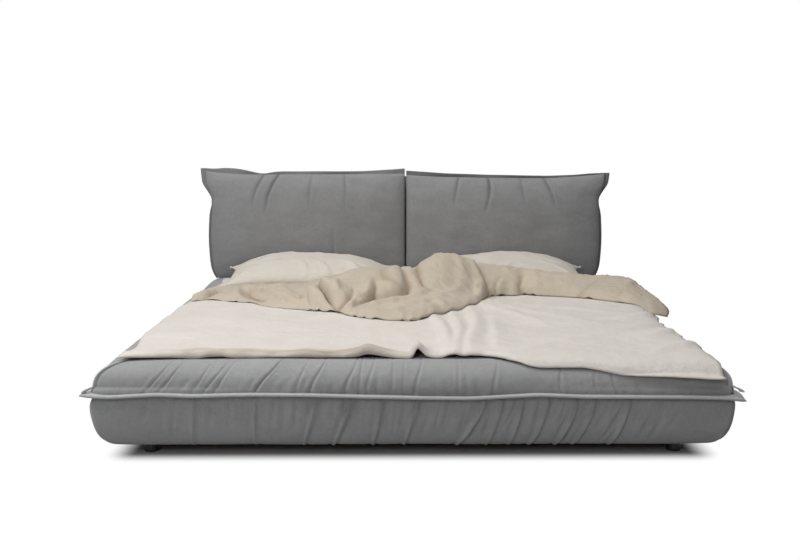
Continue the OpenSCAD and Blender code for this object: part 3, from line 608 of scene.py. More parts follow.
class Section:
    """Closed outline of a bolster: u runs outward from the board's inner face, z runs up.

    w is 0 at the seam, 1 at the crown, -1 at the underside and FIXED on the faces by the frame.
    """

    FIXED = 9

    def __init__(self, pinch):
        low = SEAM_Z - SEAM_T / 2
        lip = np.radians(np.linspace(0, 90, LIP_POINTS)[:-1])
        upper = np.radians(90 * (1 - np.linspace(0, 1, UPPER_POINTS) ** 0.8))
        under = np.radians(90 * np.linspace(0, 1, LOWER_POINTS) ** 1.25)
        plank, board = PLANK_W + SNUG, BOARD_T + SNUG
        bottom, top = BOARD_LOW.z + SNUG, BOARD_HIGH.z + SNUG
        self.u = np.concatenate((
            CROWN_U * (1 - np.cos(lip) ** 0.9),
            CROWN_U + (ROLL_W - CROWN_U) * np.cos(upper) ** (2 / TOP_POWER),
            TUCK_U + (ROLL_W - TUCK_U) * np.cos(under) ** (2 / BELLY_POWER),
            (plank, plank, board, board, 0)))
        self.z = np.concatenate((
            LIP_Z + (BASE_TOP - LIP_Z) * np.sin(lip) ** 0.9,
            SEAM_TOP + (BASE_TOP - SEAM_TOP) * np.sin(upper) ** (2 / TOP_POWER),
            low - (low - ROLL_BOTTOM) * np.sin(under) ** (2 / BELLY_POWER),
            (ROLL_BOTTOM, bottom, bottom, top, top)))
        self.w = np.concatenate((
            1.6 - 0.1 * np.arange(len(lip)), np.sin(upper), -np.sin(under), [self.FIXED] * 5))
        self.free = np.where(np.abs(self.w) < 2, 1.0, 0.0)
        below = SEAM_Z - self.z
        near_seam = (bell(below, 0.017) + 0.35 * bell(below - 0.010, 0.022) * (below > 0)) * self.free
        near_seam *= self.u > CROWN_U + 0.02
        self.u -= pinch * near_seam
        du, dz = np.gradient(self.u), np.gradient(self.z)
        length = np.hypot(du, dz) + 1e-9
        self.nu, self.nz = -dz / length, du / length


class Crease:
    """One gather beside a seam: it leans along the roll as it runs away from the seam, and fades."""

    def __init__(self, at, lean, depth, width, reach, start=0.0, ridge=0.5):
        self.at, self.lean, self.depth, self.width = at, lean, depth, width
        self.reach, self.start, self.ridge = reach, start, ridge

    def near(self, s, w):
        """Which places the crease can reach."""
        return (np.abs(s - self.at) < abs(self.lean) * 1.2 + 9 * self.width) & (w >= 0) & (w <= 1.01)

    def height(self, s, w):
        """Height at s along the roll and w above or below the seam, and the painted shade of the crease
        there.
        """
        off = (s - self.at - self.lean * w ** 1.15) / (self.width * (1.7 - 0.8 * w))
        beside = self.ridge * (bell(off - 2.0, 1.5) + 0.6 * bell(off + 2.1, 1.5))
        fade = step(w, self.start - 0.05, self.start + 0.06) * (1 - step(w, self.reach * 0.5, self.reach))
        return self.depth * (beside - bell(off, 1)) * fade, abs(self.depth) * bell(off, 0.6) * fade


def crease_height(creases, s, w):
    """Height that the creases give, and the painted shade of their grooves at each place."""
    total, deep = np.zeros_like(s), np.zeros_like(s)
    for crease in creases:
        near = crease.near(s, w)
        height, groove = crease.height(s[near], w[near])
        total[near] += height
        deep[near] += groove
    return total, deep


def gathers(seed, low, high, count, lean, depth, reach):
    """Small creases at uneven spacing; lean gives how far each leans at its place."""
    drawn = np.random.RandomState(seed)
    places = np.linspace(low, high, count) + drawn.uniform(-0.5, 0.5, count) * (high - low) / count
    return [
        Crease(at, lean(at) * drawn.uniform(0.6, 1.3), depth * drawn.uniform(0.3, 1.2),
               drawn.uniform(0.004, 0.009), reach * drawn.uniform(0.3, 1.2))
        for at in places
    ]


# The deepest gathers of the front roll: place along the roll, lean and share of the full depth
FRONT_UPPER = (
    (-0.912, 0.084, 0.9), (-0.865, 0.077, 1.0), (-0.749, 0.061, 0.5), (-0.712, 0.081, 0.9),
    (-0.675, 0.066, 0.6), (-0.537, 0.084, 1.5), (-0.400, 0.039, 0.6), (-0.352, 0.051, 1.0),
    (-0.236, 0.044, 0.8), (-0.186, 0.012, 0.7), (-0.162, 0.029, 0.6), (-0.074, 0.007, 0.4),
    (-0.037, 0.007, 0.3), (0.003, 0.027, 0.6), (0.149, 0.005, 0.4), (0.267, 0.023, 0.5),
    (0.498, 0.004, 0.45), (0.618, 0.0, 0.3), (0.689, -0.027, 0.5),
)
FRONT_LOWER = (
    (-0.737, -0.016, 0.6), (-0.528, -0.012, 0.6), (-0.327, -0.050, 0.8), (-0.209, -0.066, 1.3),
    (-0.105, -0.034, 1.0), (0.010, -0.042, 0.8), (0.243, -0.095, 1.2), (0.300, -0.050, 0.8),
    (0.367, -0.040, 0.8), (0.459, -0.062, 1.0), (0.553, -0.066, 1.1), (0.614, -0.066, 0.9),
    (0.731, -0.058, 0.9),
)


def bolster(columns, run_length, along, creases_up, creases_down, pinch, ends):
    """A bmesh of one bolster.

    along(a, u) gives the place of its outline, and run_length(a, u) how far along the bolster that is.
    """
    section = Section(pinch)
    last = len(section.u)

    def place(a, b):
        index = np.rint(b * last).astype(int) % last
        u, z, w = section.u[index].copy(), section.z[index].copy(), section.w[index]
        nu, nz, free = section.nu[index], section.nz[index], section.free[index]
        s = run_length(a, u)
        soft = np.clip(1.3 - np.abs(w), 0, 1) * free
        above, groove_shade_above = crease_height(creases_up, s, w)
        below, groove_shade_below = crease_height(creases_down, s, -w)
        swell = above + below
        swell += 0.0035 * waves(s, w * 0.12, 5, 0.5) * soft
        swell += ends(a, np.clip(w, -1, 1)) * free
        u += nu * swell
        z += nz * swell
        x, y = along(a, u)
        # The fourth number is painted shade along the grooves of the gathers
        return x, y, z, groove_shade_above / GROOVE_ABOVE + groove_shade_below / GROOVE_BELOW

    return outward(grid_mesh(columns, last, place, tube=True))


def shoulder(w):
    """How much a height counts as shoulder: w is 0 at the seam and 1 at the crown."""
    return np.clip(1 - w ** 2, 0, 1) * step(w, 0, 0.15)


def end_swell(distance, w):
    """The fabric draws in at a mitre seam, and its shoulder is flatter near there."""
    hollow = (CORNER_HOLLOW + CORNER_SLOPE * shoulder(w)) * bell(distance, CORNER_FAR)
    flatter = FRONT_SLOPE * shoulder(w) * (bell(distance, 0.55) - bell(distance, CORNER_FAR))
    return -CORNER_DRAW * bell(distance, CORNER_NEAR) - hollow - flatter


def side_swell(y, w):
    """The side bolsters are fuller toward the headboard."""
    return END_SWELL * bell(PANEL_Y - y - 0.08, 0.12) + REAR_SWELL * shoulder(w) * step(y, -0.3, 0.6)


def front_bolster(depth, pinch):
    """The bolster at the foot end: its own deepest gathers, with smaller ones between them."""

    def lean_up(s):
        return 0.075 * (1 - step(s, -0.75, 0.05)) - 0.005

    def lean_down(s):
        return -0.012 - 0.07 * step(s, -0.2, 0.5)

    def run_length(a, u):
        return (2 * a - 1) * (IN_X + u)

    def along(a, u):
        return (2 * a - 1) * (IN_X + u - MITRE_GAP), FOOT_Y - u

    def ends(a, w):
        return end_swell((0.5 - np.abs(a - 0.5)) * 2 * (IN_X + ROLL_W), w)

    up = [Crease(at, lean, depth * share * 0.95, width=0.0042, reach=1.4, ridge=0.36)
          for at, lean, share in FRONT_UPPER]
    up += gathers(3, -1.0, 0.2, 34, lean_up, depth * 0.35, 0.7)
    up += gathers(4, 0.2, 1.0, 20, lean_up, depth * 0.22, 0.5)
    down = [Crease(at, lean, -depth * share * 2.3, width=0.0060, reach=1.25, start=0.02, ridge=0.55)
            for at, lean, share in FRONT_LOWER]
    down += gathers(7, -0.9, 0.0, 34, lean_down, depth * 0.8, 0.8)
    down += gathers(8, 0.0, 0.9, 46, lean_down, depth * 0.9, 0.9)
    return bolster(FRONT_COLUMNS, run_length, along, up, down, pinch, ends)


def side_bolster(side, depth, pinch):
    """The bolster at the left (side is -1) or the right (side is 1)."""
    length = PANEL_Y - FOOT_Y

    def run_length(a, u):
        return a * (length + u) - u

    def along(a, u):
        start = FOOT_Y - u + MITRE_GAP
        return side * (IN_X + u), start + a * (PANEL_Y - CLEAR - start)

    def ends(a, w):
        return end_swell(a * (length + ROLL_W), w) + side_swell(PANEL_Y - (1 - a) * length, w)

    up, down = (
        gathers(seed + side, -0.1, length - 0.06, SIDE_GATHERS, lambda s: lean, depth * 0.8, 0.9)
        for seed, lean in ((20, -0.02), (25, 0.03)))
    return bolster(SIDE_COLUMNS, run_length, along, up, down, pinch, ends)


class BED_OT_bolsters(bpy.types.Operator):
    """Build the three bolsters round the base."""

    bl_idname = "bed.bolsters"
    bl_label = "Bolsters"

    def execute(self, context):
        settings = context.scene.bed_base
        sizes = settings.crease_depth, settings.pinch
        piece("bolster_front", front_bolster(*sizes), "base_fabric", "frame", ["base_cushion_front"])
        for side, name in SIDES:
            body = side_bolster(side, *sizes)
            piece(f"bolster_{name}", body, "base_fabric", "frame", [f"base_cushion_{name}"])
        return {"FINISHED"}


# seams of the base

# Where the flange is sewn in, how far it stands out from there, and its thickness
SEAM_INSET = 0.006
SEAM_HALF = IN_X + ROLL_W - SEAM_INSET
SEAM_FRONT_Y = FOOT_Y - ROLL_W + SEAM_INSET
SEAM_REACH = SEAM_FRONT_Y - FLANGE_FRONT_Y - 0.001
SEAM_THICK = SEAM_T * 1.12

# Grid columns of the seams, and how much closer they lie at a corner
FRONT_SEAM_COLUMNS = 520
SIDE_SEAM_COLUMNS = 360
MITRE_COLUMNS = 90
CORNER_POWER = 1.25

# How the flange rises and dips along the front: place and height above the seam
SEAM_RUN = [
    (-1.10, 0.010), (-1.070, 0.004), (-1.024, -0.001), (-0.94, 0.004), (-0.86, 0.008), (-0.743, 0.003),
    (-0.63, 0.006), (-0.533, 0.008), (-0.34, 0.006), (-0.186, 0.001), (0.024, -0.004), (0.19, -0.006),
    (0.422, 0.006), (0.577, -0.001), (0.73, -0.002), (0.884, -0.003), (1.05, -0.006), (1.10, -0.004),
]

# How deep a welt's root lies in its seam, and how many points it has around
WELT_ROOT = 0.012
WELT_AROUND = 20

# The mitre seam: first angle and turn over the bolster's round, in degrees, and its size
MITRE_START = 2
MITRE_TURN = 80
MITRE_W = 0.013
MITRE_T = 0.0075
MITRE_ROOT = 0.006


def welt(columns, line, width, thick, root=WELT_ROOT):
    """A stuffed seam flange. line(t) gives place, outward direction and up direction, as arrays."""

    def place(a, b):
        p, out, up = line(a)
        angle = 2 * math.pi * b
        along = (1 + np.cos(angle)) / 2
        half = thick(a) / 2 * (0.70 + 0.42 * step(along, 0.5, 0.85))
        rounded = np.sign(np.sin(angle)) * np.abs(np.sin(angle)) ** 0.5
        outward_by = -root + (width(a) + root) * along ** 0.85
        return tuple(p[i] + out[i] * outward_by + up[i] * half * rounded for i in range(3))

    return outward(grid_mesh(columns, WELT_AROUND, place, tube=True))


def turned(distance):
    """Direction of the flange near a corner: shares of straight out and along."""
    lean = bell(distance, 0.032)
    size = np.sqrt(1 + lean ** 2)
    return 1 / size, lean / size


def grown(distance):
    """Width of the flange, at a distance from a corner."""
    return SEAM_REACH * (1 - 0.03 * bell(distance, 0.022))


def thinned(distance):
    """Thickness of the flange, at a distance from a corner."""
    return SEAM_THICK * (1 - 0.3 * bell(distance, 0.02))


def droop(distance, side):
    """Tilt of the flange, which hangs at its corners, more at the right one."""
    return 0.05 - (0.42 if side > 0 else 0.12) * bell(distance, 0.035)


def front_seam():
    """The flange along the foot end."""

    def from_corner(a):
        return SEAM_HALF * (1 - np.abs(2 * a - 1)) ** CORNER_POWER

    def line(a):
        side = np.sign(2 * a - 1)
        distance = from_corner(a)
        x = side * (SEAM_HALF - distance)
        straight, lean = turned(distance)
        tilt = np.where(side > 0, droop(distance, 1), droop(distance, -1))
        z = SEAM_Z + smooth_curve(x, SEAM_RUN)
        return (x, SEAM_FRONT_Y + 0 * a, z), (side * lean, -straight, tilt), (0 * a, tilt, 1 + 0 * a)

    def width(a):
        return grown(from_corner(a))

    def thick(a):
        return thinned(SEAM_HALF * (1 - np.abs(2 * a - 1)))

    return welt(FRONT_SEAM_COLUMNS, line, width, thick)


def side_seam(side):
    """The flange along one side."""
    length = PANEL_Y - 0.004 - SEAM_FRONT_Y
    end_rise = smooth_curve(np.array([side * 1.1]), SEAM_RUN)[0]

    def line(a):
        s = a ** CORNER_POWER * length
        straight, lean = turned(s)
        near_front = bell(s, 0.2)
        z = SEAM_Z + end_rise * near_front + (1 - near_front) * 0.005 * np.sin(s * 5.2 + side)
        tilt = droop(s, side)
        place = (side * SEAM_HALF + 0 * a, SEAM_FRONT_Y + s, z)
        return place, (side * straight, -lean, tilt), (-side * tilt, 0 * a, 1 + 0 * a)

    def width(a):
        s = a ** CORNER_POWER * length
        return grown(s) * (1 - 0.65 * bell(s - 0.10, 0.08)) - 0.012 * step(a, 0.95, 1)

    return welt(SIDE_SEAM_COLUMNS, line, width, lambda a: thinned(a * length))


def mitre_seam(side):
    """The seam that rises over a front corner."""
    wide, tall = ROLL_W - CROWN_U, BASE_TOP - SEAM_TOP
    diagonal = math.sqrt(0.5)

    def line(a):
        angle = np.radians(MITRE_START + MITRE_TURN * a)
        nu = np.cos(angle) ** (2 - 2 / TOP_POWER) / wide
        nz = np.sin(angle) ** (2 - 2 / TOP_POWER) / tall
        size = np.hypot(nu, nz)
        slope = CORNER_SLOPE * shoulder(np.sin(angle))
        drawn = (CORNER_DRAW + CORNER_HOLLOW + slope) * step(a, 0, 0.12)
        u = CROWN_U + wide * np.cos(angle) ** (2 / TOP_POWER) - drawn * nu / size
        z = SEAM_TOP + tall * np.sin(angle) ** (2 / TOP_POWER) - drawn * nz / size
        full = np.sqrt(2 * nu ** 2 + nz ** 2)
        out = (side * nu / full, -nu / full, nz / full)
        flat = (side * diagonal + 0 * a, diagonal + 0 * a, 0 * a)
        return (side * (IN_X + u), FOOT_Y - u, z), out, flat

    return welt(MITRE_COLUMNS, line, lambda a: MITRE_W - 0.003 * a, lambda a: MITRE_T + 0 * a, MITRE_ROOT)


class BED_OT_base_seams(bpy.types.Operator):
    """Build the flanges round the base and over its front corners."""

    bl_idname = "bed.base_seams"
    bl_label = "Base seams"

    def execute(self, context):
        piece("seam_front", front_seam(), "seam_fabric", "frame", ["base_flange_front"])
        for side, name in SIDES:
            seam, corner = side_seam(side), mitre_seam(side)
            piece(f"seam_{name}", seam, "seam_fabric", "frame", [f"base_flange_{name}"])
            piece(f"seam_corner_{name}", corner, "seam_fabric", "frame", [f"corner_flange_{name}"])
        return {"FINISHED"}


# headboard

# Height of each cushion's top edge over a straight one, and width of its flange, from left to right
LEFT_TOP = [
    (-1.1, 0.0), (-0.5, 0.0), (0.0, 0.004),
]
RIGHT_TOP = [
    (0.0, -0.004), (0.2, -0.014), (0.45, -0.019), (0.8, -0.021), (0.95, -0.012), (1.1, 0.0),
]
LEFT_FLANGE = [
    (-1.12, 0.014), (-1.06, 0.020), (-1.0, 0.032), (-0.94, 0.031), (-0.88, 0.022), (-0.83, 0.010),
    (-0.79, 0.003), (-0.75, 0.012), (-0.71, 0.017), (-0.5, 0.018), (-0.25, 0.016), (-0.05, 0.026),
    (-0.01, 0.030),
]
RIGHT_FLANGE = [
    (0.01, 0.026), (0.10, 0.024), (0.30, 0.020), (0.60, 0.016), (0.84, 0.013), (0.95, 0.010), (1.03, 0.011),
    (1.12, 0.006),
]

# Creases under the top flange: line, shares of the full depth along it, and width to either side
LEFT_CREASES = (
    ([(-0.786, 0.905), (-0.815, 0.85), (-0.838, 0.79), (-0.845, 0.73)], (1.0, 0.9, 0.6, 0.1), 0.012, 0.020),
    ([(-0.705, 0.905), (-0.735, 0.85), (-0.762, 0.78), (-0.775, 0.70)], (1.4, 1.3, 0.9, 0.1), 0.008, 0.016),
    ([(-0.518, 0.905), (-0.530, 0.82), (-0.535, 0.72)], (0.4, 0.5, 0.0), 0.010, 0.020),
    ([(-0.339, 0.905), (-0.332, 0.82), (-0.337, 0.70)], (0.5, 0.5, 0.0), 0.007, 0.016),
    ([(-0.400, 0.62), (-0.402, 0.50), (-0.40, 0.40)], (0.0, 0.5, 0.4), 0.010, 0.020),
)
RIGHT_CREASES = (
    ([(0.293, 0.89), (0.280, 0.82), (0.268, 0.74)], (1.0, 0.7, 0.1), 0.010, 0.016),
    ([(0.460, 0.89), (0.466, 0.83), (0.460, 0.78), (0.440, 0.70)], (1.4, 1.1, 0.8, 0.1), 0.008, 0.014),
    ([(0.636, 0.89), (0.648, 0.82), (0.66, 0.72)], (0.5, 0.5, 0.0), 0.010, 0.018),
    ([(0.766, 0.89), (0.80, 0.82), (0.833, 0.72)], (0.9, 0.8, 0.1), 0.007, 0.016),
)

CUSHION_GRID = 250, 140
HEAD_FLANGE_COLUMNS = 520
HEAD_FLANGE_T = 0.008
HEAD_FLANGE_ROOT = 0.010

# Half the thickness of a cushion's edge, which the flange is sewn to
SEWN_HALF = 0.004

# The flange runs along the top, turns at these shares of its length, and stops short of the lower corner
TURN_START = 0.585
TURN_END = 0.635
SIDE_DROP = 1.98
EAR_REACH = 0.030

# Width of the flange down the outer side, where it narrows to a notch
SIDE_PLACES = (0, 0.08, 0.15, 0.22, 0.30, 0.40, 0.9, 1.0)
SIDE_WIDTHS = (EAR_REACH, 0.024, 0.014, 0.008, 0.007, 0.018, 0.020, 0.014)
NOTCH_AT = 0.26
NOTCH_REACH = 0.06

# Depth of a crease's groove and height of the ridge beside it, as shares, and the ridge's place and width
GROOVE_DEPTH = 1.7
RIDGE_DEPTH = 0.6
RIDGE_OFF = 0.020
RIDGE_W = 0.016


def cushion_outline(s, t, top, ear_rise):
    """Edge of a headboard cushion, whose top outer corner is an ear.

    s runs outward and t runs up, both from -1 to 1.
    """
    middle, half = (HEAD_LOW + HEAD_HIGH) / 2, (HEAD_HIGH - HEAD_LOW) / 2
    s_out, t_up, t_low = np.maximum(s, 0), np.maximum(t, 0), np.maximum(-t, 0)
    low = 0.030 * s_out ** 8 * t_low ** 10
    bow = 0.012 * s_out ** 4 * bell(t + 0.25, 0.55) - 0.003 * s_out ** 4 * bell(t - 0.58, 0.16)
    pulled = 0.034 * s_out ** 7 * step(t, 0.48, 0.86)
    x = middle.x + half.x * s - low + bow
    z = middle.z + half.z * t - 0.010 * t_low ** 8 + ear_rise * s_out ** 7 * t_up ** 9
    return x + pulled, z + top(x) * t_up ** 2


def flange_course(a):
    """The flange's way round a cushion: place on the outline, angle of the turn, and share of the side."""
    across = np.clip(a / TURN_START, 0, 1)
    turn = np.clip((a - TURN_START) / (TURN_END - TURN_START), 0, 1)
    down = np.clip((a - TURN_END) / (1 - TURN_END), 0, 1)
    return -1 + 2 * across, 1 - SIDE_DROP * down, turn * math.pi / 2, down


class HeadCushion:
    """A cushion of the headboard with its flange: side is -1 for the left one and 1 for the right one."""

    def __init__(self, side, name, creases, top_edge, flange_edge, ear_rise):
        self.side, self.name, self.creases = side, name, creases
        self.top_edge, self.flange_edge, self.ear_rise = top_edge, flange_edge, ear_rise

    def outline(self, s, t):
        return cushion_outline(s, t, lambda x: smooth_curve(self.side * x, self.top_edge), self.ear_rise)

    def front(self, depth):
        """The cushion's front, with creases of a full depth and painted shade along them."""
        crown = HEAD_SEAM_Y - HEAD_LOW.y - SEWN_HALF

        def place(a, b):
            s, t = to_edges(a, b)
            x, z = self.outline(s, t)
            at = self.side * x
            puff = bulge(s, 3.2) * bulge(t, 2.7)
            deep = np.zeros_like(s)
            y = HEAD_SEAM_Y - SEWN_HALF - crown * (0.88 + 0.12 * (1 - s * s) * (1 - t * t)) * puff
            y -= 0.004 * waves(at, z, 9, 0.35) * puff
            for points, shares, left, right in self.creases:
                depths = [share * depth * GROOVE_DEPTH for share in shares]
                rises = [share * depth * RIDGE_DEPTH for share in shares]
                beside = [(px + RIDGE_OFF, pz) for px, pz in points]
                groove = fold(at, z, points, depths, left * 0.8, right * 0.8)
                y += (groove - fold(at, z, beside, rises, RIDGE_W, RIDGE_W)) * puff ** 0.4
                # Painted shade along each crease
                deep += fold(at, z, points, shares, 0.005, 0.009)
            return at, y, z, deep

        return place

    def rear(self, a, b):
        s, t = to_edges(a, b)
        x, z = self.outline(s, t)
        full = (PANEL_Y - HEAD_SEAM_Y) * 1.15 * bulge(s, 3.2) * bulge(t, 2.8)
        return self.side * x, np.minimum(PANEL_Y - CLEAR, HEAD_SEAM_Y + SEWN_HALF + full), z

    def flange_line(self, a):
        s, t, angle, down = flange_course(a)
        x, z = self.outline(s, t)
        out_x = np.sin(angle)
        out_z = np.cos(angle) - 0.5 * step(down, 0.90, 1.0)
        wave = 0.22 * np.sin(x * 15 + self.side) * (1 - step(a, 0.5, 0.6))
        out_y = wave + 0.45 * step(down, 0.30, 0.40)
        size = np.sqrt(out_x ** 2 + out_z ** 2 + out_y ** 2)
        place = (self.side * x, HEAD_SEAM_Y + 0 * a, z)
        out = (self.side * out_x / size, out_y / size, out_z / size)
        flat = (-self.side * out_x * out_y / size, 1 / size, -out_z * out_y / size)
        return place, out, flat

    def flange_width(self, a):
        s, t, angle, down = flange_course(a)
        x, z = self.outline(s, t)
        along_top = smooth_curve(self.side * x, self.flange_edge)
        joined = 1 / np.maximum(np.cos(angle) / along_top, np.sin(angle) / EAR_REACH)
        return np.where(down > 0, np.interp(down, SIDE_PLACES, SIDE_WIDTHS), joined)

    def flange(self):
        """The flange. Its fabric gets painted shade: darker on the right cushion, and on both below the
        notch.
        """
        bm = welt(HEAD_FLANGE_COLUMNS, self.flange_line, self.flange_width,
                  lambda a: HEAD_FLANGE_T + 0 * a, HEAD_FLANGE_ROOT)
        notch_z = cushion_outline(1.0, 1 - SIDE_DROP * NOTCH_AT, lambda x: 0.0, 0)[1]
        for face in bm.faces:
            middle = face.calc_center_median()
            below_notch = middle.z < notch_z and abs(middle.x) > HEAD_HIGH.x - NOTCH_REACH
            # Painted shade: the darker copy on the right cushion and below the notch, the lighter one
            # elsewhere
            face.material_index = 1 if below_notch or self.side > 0 else 2
        return bm


HEAD_CUSHIONS = (
    HeadCushion(-1, "left", LEFT_CREASES, LEFT_TOP, LEFT_FLANGE, ear_rise=0.020),
    HeadCushion(1, "right", RIGHT_CREASES, RIGHT_TOP, RIGHT_FLANGE, ear_rise=0.004),
)


class BED_OT_headboard(bpy.types.Operator):
    """Build the two headboard cushions with their flanges."""

    bl_idname = "bed.headboard"
    bl_label = "Headboard"

    def execute(self, context):
        depth = context.scene.bed_head.crease_depth
        for form in HEAD_CUSHIONS:
            name = form.name
            padding = two_sheets(*CUSHION_GRID, form.front(depth), form.rear)
            cushion = piece(
                f"headboard_cushion_{name}_padded", padding, "headboard_fabric", "frame",
                [f"headboard_cushion_{name}"])
            piece(f"headboard_seam_{name}", form.flange(), "seam_fabric", "frame",
                  [f"headboard_flange_{name}"], ["flange_fabric_in_painted_shade", "upper_flange_fabric"])
        return {"FINISHED"}


# mattress

# Rounding of the mattress at its upright corners and its edges
MATTRESS_CORNER = 0.07
MATTRESS_EDGE = 0.03

# Directions that the mattress is cut across, and the number of parts along each
MATTRESS_CUTS = (((1, 0, 0), 60), ((0, 1, 0), 66), ((0, 0, 1), 8))

# How uneven the mattress's top is
TOP_DIP = 0.0015

# The sheet's lap over a side bolster: its width, its ends along y, and its two faces above the bolster
SHEET_LAP = 0.100
LAP_FRONT = 0.60
LAP_REAR = 1.00
LAP_FACES = 0.0105, 0.0045
LAP_GRID = 24, 60


def mattress_block():
    """The mattress: a box with rounded corners and edges and a slightly uneven top."""
    low, high = MATTRESS_LOW, MATTRESS_HIGH
    size = high - low
    bevel = {"affect": "EDGES", "profile": 0.5, "material": -1}
    bm = bmesh.new()
    bmesh.ops.create_cube(bm, size=1)
    bmesh.ops.scale(bm, vec=size, verts=bm.verts)
    bmesh.ops.translate(bm, vec=(low + high) / 2, verts=bm.verts)
    upright = [e for e in bm.edges if abs((e.verts[0].co - e.verts[1].co).z) > 0.01]
    bmesh.ops.bevel(bm, geom=upright, offset=MATTRESS_CORNER, segments=8, **bevel)
    flat = [e for e in bm.edges if abs((e.verts[0].co - e.verts[1].co).z) < MERGE
            and len(e.link_faces) == 2 and e.calc_face_angle(0) > 1.0]
    bmesh.ops.bevel(bm, geom=flat, offset=MATTRESS_EDGE, segments=6, **bevel)
    for axis, count in MATTRESS_CUTS:
        normal = Vector(axis)
        start, span = low.dot(normal), size.dot(normal)
        for k in range(1, count):
            everything = bm.verts[:] + bm.edges[:] + bm.faces[:]
            at = normal * (start + span * k / count)
            bmesh.ops.bisect_plane(bm, geom=everything, plane_co=at, plane_no=normal)
    bmesh.ops.triangulate(bm, faces=[f for f in bm.faces if len(f.verts) > 4])
    for vert in bm.verts:
        x, y, z = vert.co
        if z > high.z - 0.02:
            vert.co.z -= TOP_DIP + TOP_DIP * noise.noise(Vector((x * 7, y * 7, 0)))
    return bm


def lap_face(side, height):
    """One face of the sheet's lap, at a height above the bolster that it lies on."""

    def place(a, b):
        y = LAP_FRONT + (LAP_REAR - LAP_FRONT) * b
        x = MATTRESS_HIGH.x - 0.006 + (SHEET_LAP + 0.008 * np.sin(b * 9)) * a
        top = bed_surface(x, y)
        crown = (top - SEAM_Z) / (BASE_TOP - SEAM_Z)
        return side * x, y, top + side_swell(y, crown ** (TOP_POWER / 2)) + height

    return place


class BED_OT_mattress(bpy.types.Operator):
    """Build the mattress in its fitted sheet."""

    bl_idname = "bed.mattress"
    bl_label = "Mattress"

    def execute(self, context):
        bm = mattress_block()
        for side in (-1, 1):
            add(bm, two_sheets(*LAP_GRID, *(lap_face(side, height) for height in LAP_FACES)))
        made = piece("mattress_in_sheet", outward(bm), "sheet_fabric", "mattress", ["mattress"])
        return {"FINISHED"}


# pillows

# A pillow's full thickness, how high its middle is at its front and rear edges, and its corner's knot
PILLOW_T = 0.146
PILLOW_FRONT = 0.044
PILLOW_REAR = 0.112
TIP_KNOT = 0.007
KNOT_AT = 0.975
PILLOW_GRID = 150, 84

# Creases of the right pillow, which the left one mirrors: line, heights along it, width to either side
PILLOW_FOLDS = (
    ([(0.86, 0.66), (0.80, 0.72), (0.70, 0.76)], (0.012, 0.010, 0.0), 0.014, 0.022),
    ([(0.85, 0.80), (0.76, 0.80), (0.66, 0.84)], (0.010, 0.008, 0.0), 0.014, 0.022),
    ([(0.40, 0.64), (0.44, 0.72), (0.54, 0.78)], (0.012, 0.010, 0.0), 0.012, 0.022),
    ([(0.52, 0.64), (0.54, 0.72), (0.62, 0.76)], (0.010, 0.008, 0.0), 0.012, 0.020),
    ([(0.22, 0.64), (0.28, 0.74), (0.36, 0.80)], (0.012, 0.010, 0.0), 0.014, 0.022),
)


def pillow_skin(side, up):
    """The upper (up is 1) or lower (up is -1) skin of a pillow."""
    middle_x, middle_y = (PILLOW_LOW.x + PILLOW_HIGH.x) / 2, (PILLOW_LOW.y + PILLOW_HIGH.y) / 2
    half_x, half_y = (PILLOW_HIGH.x - PILLOW_LOW.x) / 2, (PILLOW_HIGH.y - PILLOW_LOW.y) / 2

    def place(a, b):
        s, t = to_edges(a, b)
        outer = np.maximum(s, 0)
        toward_rear, toward_front = (1 + t) / 2, (1 - t) / 2
        x = middle_x + half_x * s * (0.985 - 0.016 * (1 - t * t) + 0.085 * np.abs(s * t) ** 8)
        y = middle_y + half_y * t * (0.985 - 0.05 * (1 - s * s))
        puff = PILLOW_T / 2 * bulge(s, 2.2) ** 0.95 * bulge(t, 2.1)
        middle = BASE_TOP + PILLOW_FRONT + (PILLOW_REAR - PILLOW_FRONT) * toward_rear
        middle -= 0.040 * np.abs(s) ** 3 * toward_rear + 0.026 * outer ** 4 * toward_front
        middle += 0.014 * bell(s - 0.25, 0.45) * toward_rear
        z = middle + up * puff
        if up > 0:
            wrinkle = 0.004 * waves(x * side, y, 31 + side, 0.24)
            wrinkle += 0.006 * crumple(x * side, y * 1.4, 35 + side, 0.42)
            wrinkle += together(x, y, fold, PILLOW_FOLDS)
            z += wrinkle * bulge(s, 3) * bulge(t, 3)
        return side * x, y, np.maximum(z, BASE_TOP + CLEAR)

    return place


class BED_OT_pillows(bpy.types.Operator):
    """Build the two pillows."""

    bl_idname = "bed.pillows"
    bl_label = "Pillows"

    def execute(self, context):
        for side, name in SIDES:
            upper, lower = pillow_skin(side, 1), pillow_skin(side, -1)
            bm = two_sheets(*PILLOW_GRID, upper, lower)
            corner = [float(c[0]) for c in upper(np.array([KNOT_AT]), np.array([KNOT_AT]))]
            bmesh.ops.create_uvsphere(
                bm, u_segments=14, v_segments=10, radius=TIP_KNOT, matrix=Matrix.Translation(corner))
            made = piece(f"pillow_{name}_filled", bm, "pillow_fabric", f"pillow_{name}", [f"pillow_{name}"])
        return {"FINISHED"}


# duvet

